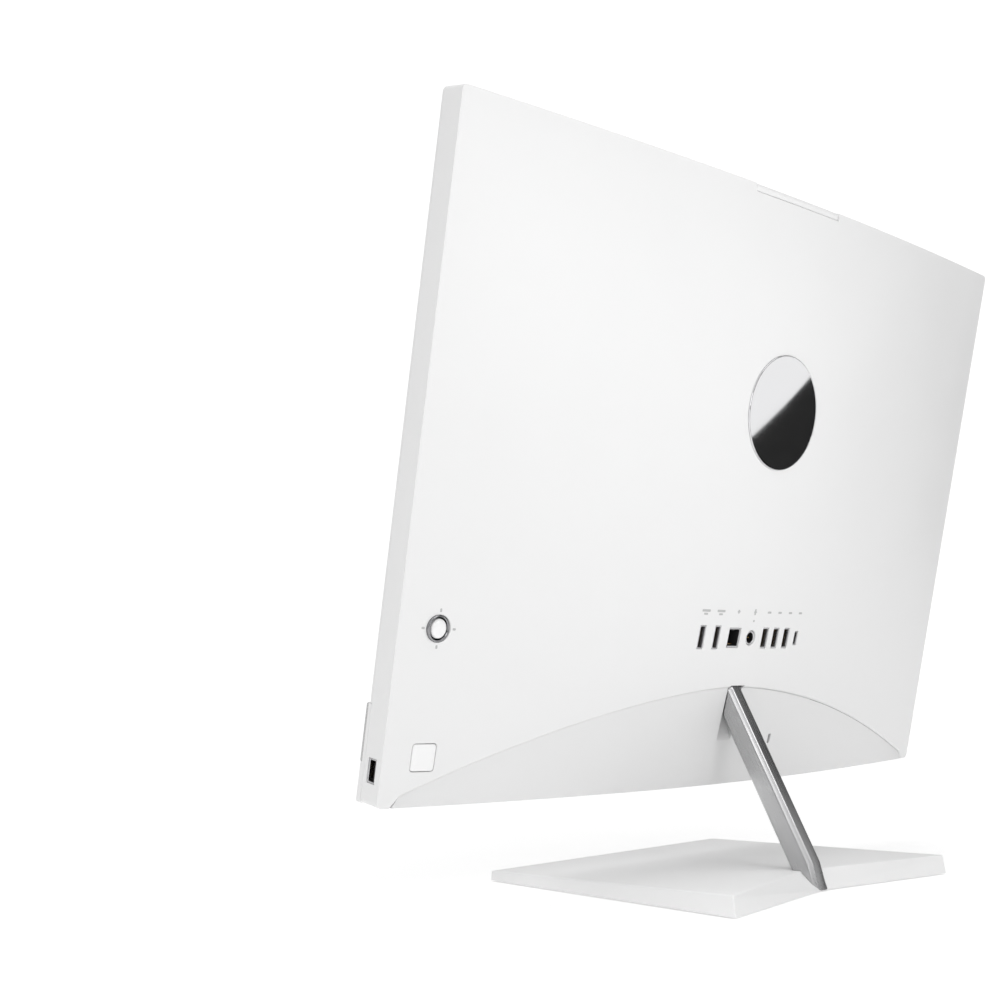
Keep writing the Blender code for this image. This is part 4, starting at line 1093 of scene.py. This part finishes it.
def make_studio():
    floor = new_bmesh()
    stack([(circle(4000.0, 96), -2.0), (circle(4000.0, 96), 0.0)], along_h, floor)
    ground = add_object("studio_floor", floor, WORLD)
    ground.data.materials.append(surface("white_floor", (0.90, 0.90, 0.90), 0.7, grain=2.0,
                                         bump=0.002, tint=0.004,
                                         Emission_Color=(1.0, 1.0, 1.0, 1.0),
                                         Emission_Strength=FLOOR_GLOW))

    world = bpy.data.worlds.new("studio")
    bpy.context.scene.world = world
    world.use_nodes = True
    tree = world.node_tree
    tree.nodes.clear()
    direction = node(tree, "ShaderNodeTexCoord").outputs["Generated"]
    axes = node(tree, "ShaderNodeSeparateXYZ", {0: direction}).outputs
    wall = ramp(tree, node(tree, "ShaderNodeMath", {0: axes["X"], 1: 0.5, 2: 0.5},
                           operation="MULTIPLY_ADD").outputs[0], 0.43, 0.47)
    ceiling = ramp(tree, axes["Z"], 0.0, 0.36)
    room = node(tree, "ShaderNodeMath", {0: wall, 1: ceiling}, operation="ADD").outputs[0]
    toward = node(tree, "ShaderNodeVectorMath", {0: direction, 1: DARK_SIDE},
                  operation="DOT_PRODUCT").outputs["Value"]
    dark_flag = node(tree, "ShaderNodeMapRange",
                     {"Value": toward, "From Min": 0.55, "From Max": 0.90,
                      "To Min": 1.0, "To Max": 0.22},
                     interpolation_type="SMOOTHSTEP").outputs["Result"]
    shade = node(tree, "ShaderNodeMath", {0: room, 1: dark_flag}, operation="MULTIPLY").outputs[0]
    lit = node(tree, "ShaderNodeBackground", {"Color": (1.0, 1.0, 1.0, 1.0), "Strength": shade})
    seen = node(tree, "ShaderNodeBackground",
                {"Color": (1.0, 1.0, 1.0, 1.0), "Strength": BACKDROP_LIGHT})
    camera_ray = node(tree, "ShaderNodeLightPath").outputs["Is Camera Ray"]
    mix = node(tree, "ShaderNodeMixShader", {0: camera_ray, 1: lit.outputs[0], 2: seen.outputs[0]})
    node(tree, "ShaderNodeOutputWorld", {"Surface": mix.outputs[0]})

    near = add_light("near_light", "AREA", (0.06, 0.50, 0.42), (0.04, 0.0, 0.36), 0.55)
    near.shape = "DISK"
    near.size = 0.3
    side = add_light("side_light", "AREA", (0.70, 0.60, 0.50), (0.10, 0.10, 0.20), 0.7)
    side.shape = "DISK"
    side.size = 0.4
    sky = add_light("top_light", "SUN", (0.0, 0.0, 3.0), (0.0, 0.0, 0.0), 0.85)
    sky.angle = math.radians(60.0)


def make_reflector():
    """A card, half white and half black, that only the polished badge and other gloss can see."""
    center = Vector((-1.215, 0.915, 0.325))
    half = 0.27
    slope = -0.92
    corners = {"white": [(-half, -half * slope), (half, half * slope), (half, half), (-half, half)],
               "black": [(-half, -half * slope), (-half, -half), (half, -half),
                         (half, half * slope)]}
    facing = (Vector((0.0, 0.047, 0.334)) - center).to_track_quat("Z", "Y").to_matrix().to_4x4()
    for tone, outline in corners.items():
        glow = 1.0 if tone == "white" else 0.0
        bm = bmesh.new()
        bm.faces.new([bm.verts.new((a, b, 0.0)) for a, b in outline])
        mesh = bpy.data.meshes.new("reflector_" + tone)
        bm.to_mesh(mesh)
        card = bpy.data.objects.new("reflector_" + tone, mesh)
        bpy.context.scene.collection.objects.link(card)
        card.matrix_world = Matrix.Translation(center) @ facing
        mesh.materials.append(surface("reflector_" + tone, (0.01, 0.01, 0.01), 0.9, grain=2.0,
                                      Emission_Strength=glow, Emission_Color=(1.0, 1.0, 1.0, 1.0)))
        card.visible_camera = card.visible_diffuse = card.visible_shadow = False
        card.visible_transmission = card.visible_volume_scatter = False


def add_light(name, kind, place, target, power):
    light = bpy.data.lights.new(name, kind)
    light.energy = power
    lamp = bpy.data.objects.new(name, light)
    bpy.context.scene.collection.objects.link(lamp)
    lamp.location = place
    lamp.visible_camera = False
    lamp.rotation_euler = (Vector(target) - Vector(place)).to_track_quat("-Z", "Y").to_euler()
    return light


def make_camera_view():
    data = bpy.data.cameras.new("camera")
    data.sensor_width = 36.0
    data.lens = 53.51
    data.shift_x = -0.0068
    data.shift_y = 0.1506
    camera = bpy.data.objects.new("camera", data)
    bpy.context.scene.collection.objects.link(camera)
    camera.location = (0.8797, 0.6556, 0.1661)
    camera.rotation_euler = (math.radians(90.0), 0.0, math.radians(180.0 - 45.07))
    bpy.context.scene.camera = camera
    bpy.context.scene.view_settings.view_transform = "Standard"


make_rear_cover()
make_lower_cover()
make_recess_liner()
make_front()
make_badge()
make_camera()
make_button()
make_joystick()
make_sockets()
make_marks()
make_arm()
make_base()
make_feet_and_screws()
dress_inner_nodes()
make_studio()
make_reflector()
make_camera_view()
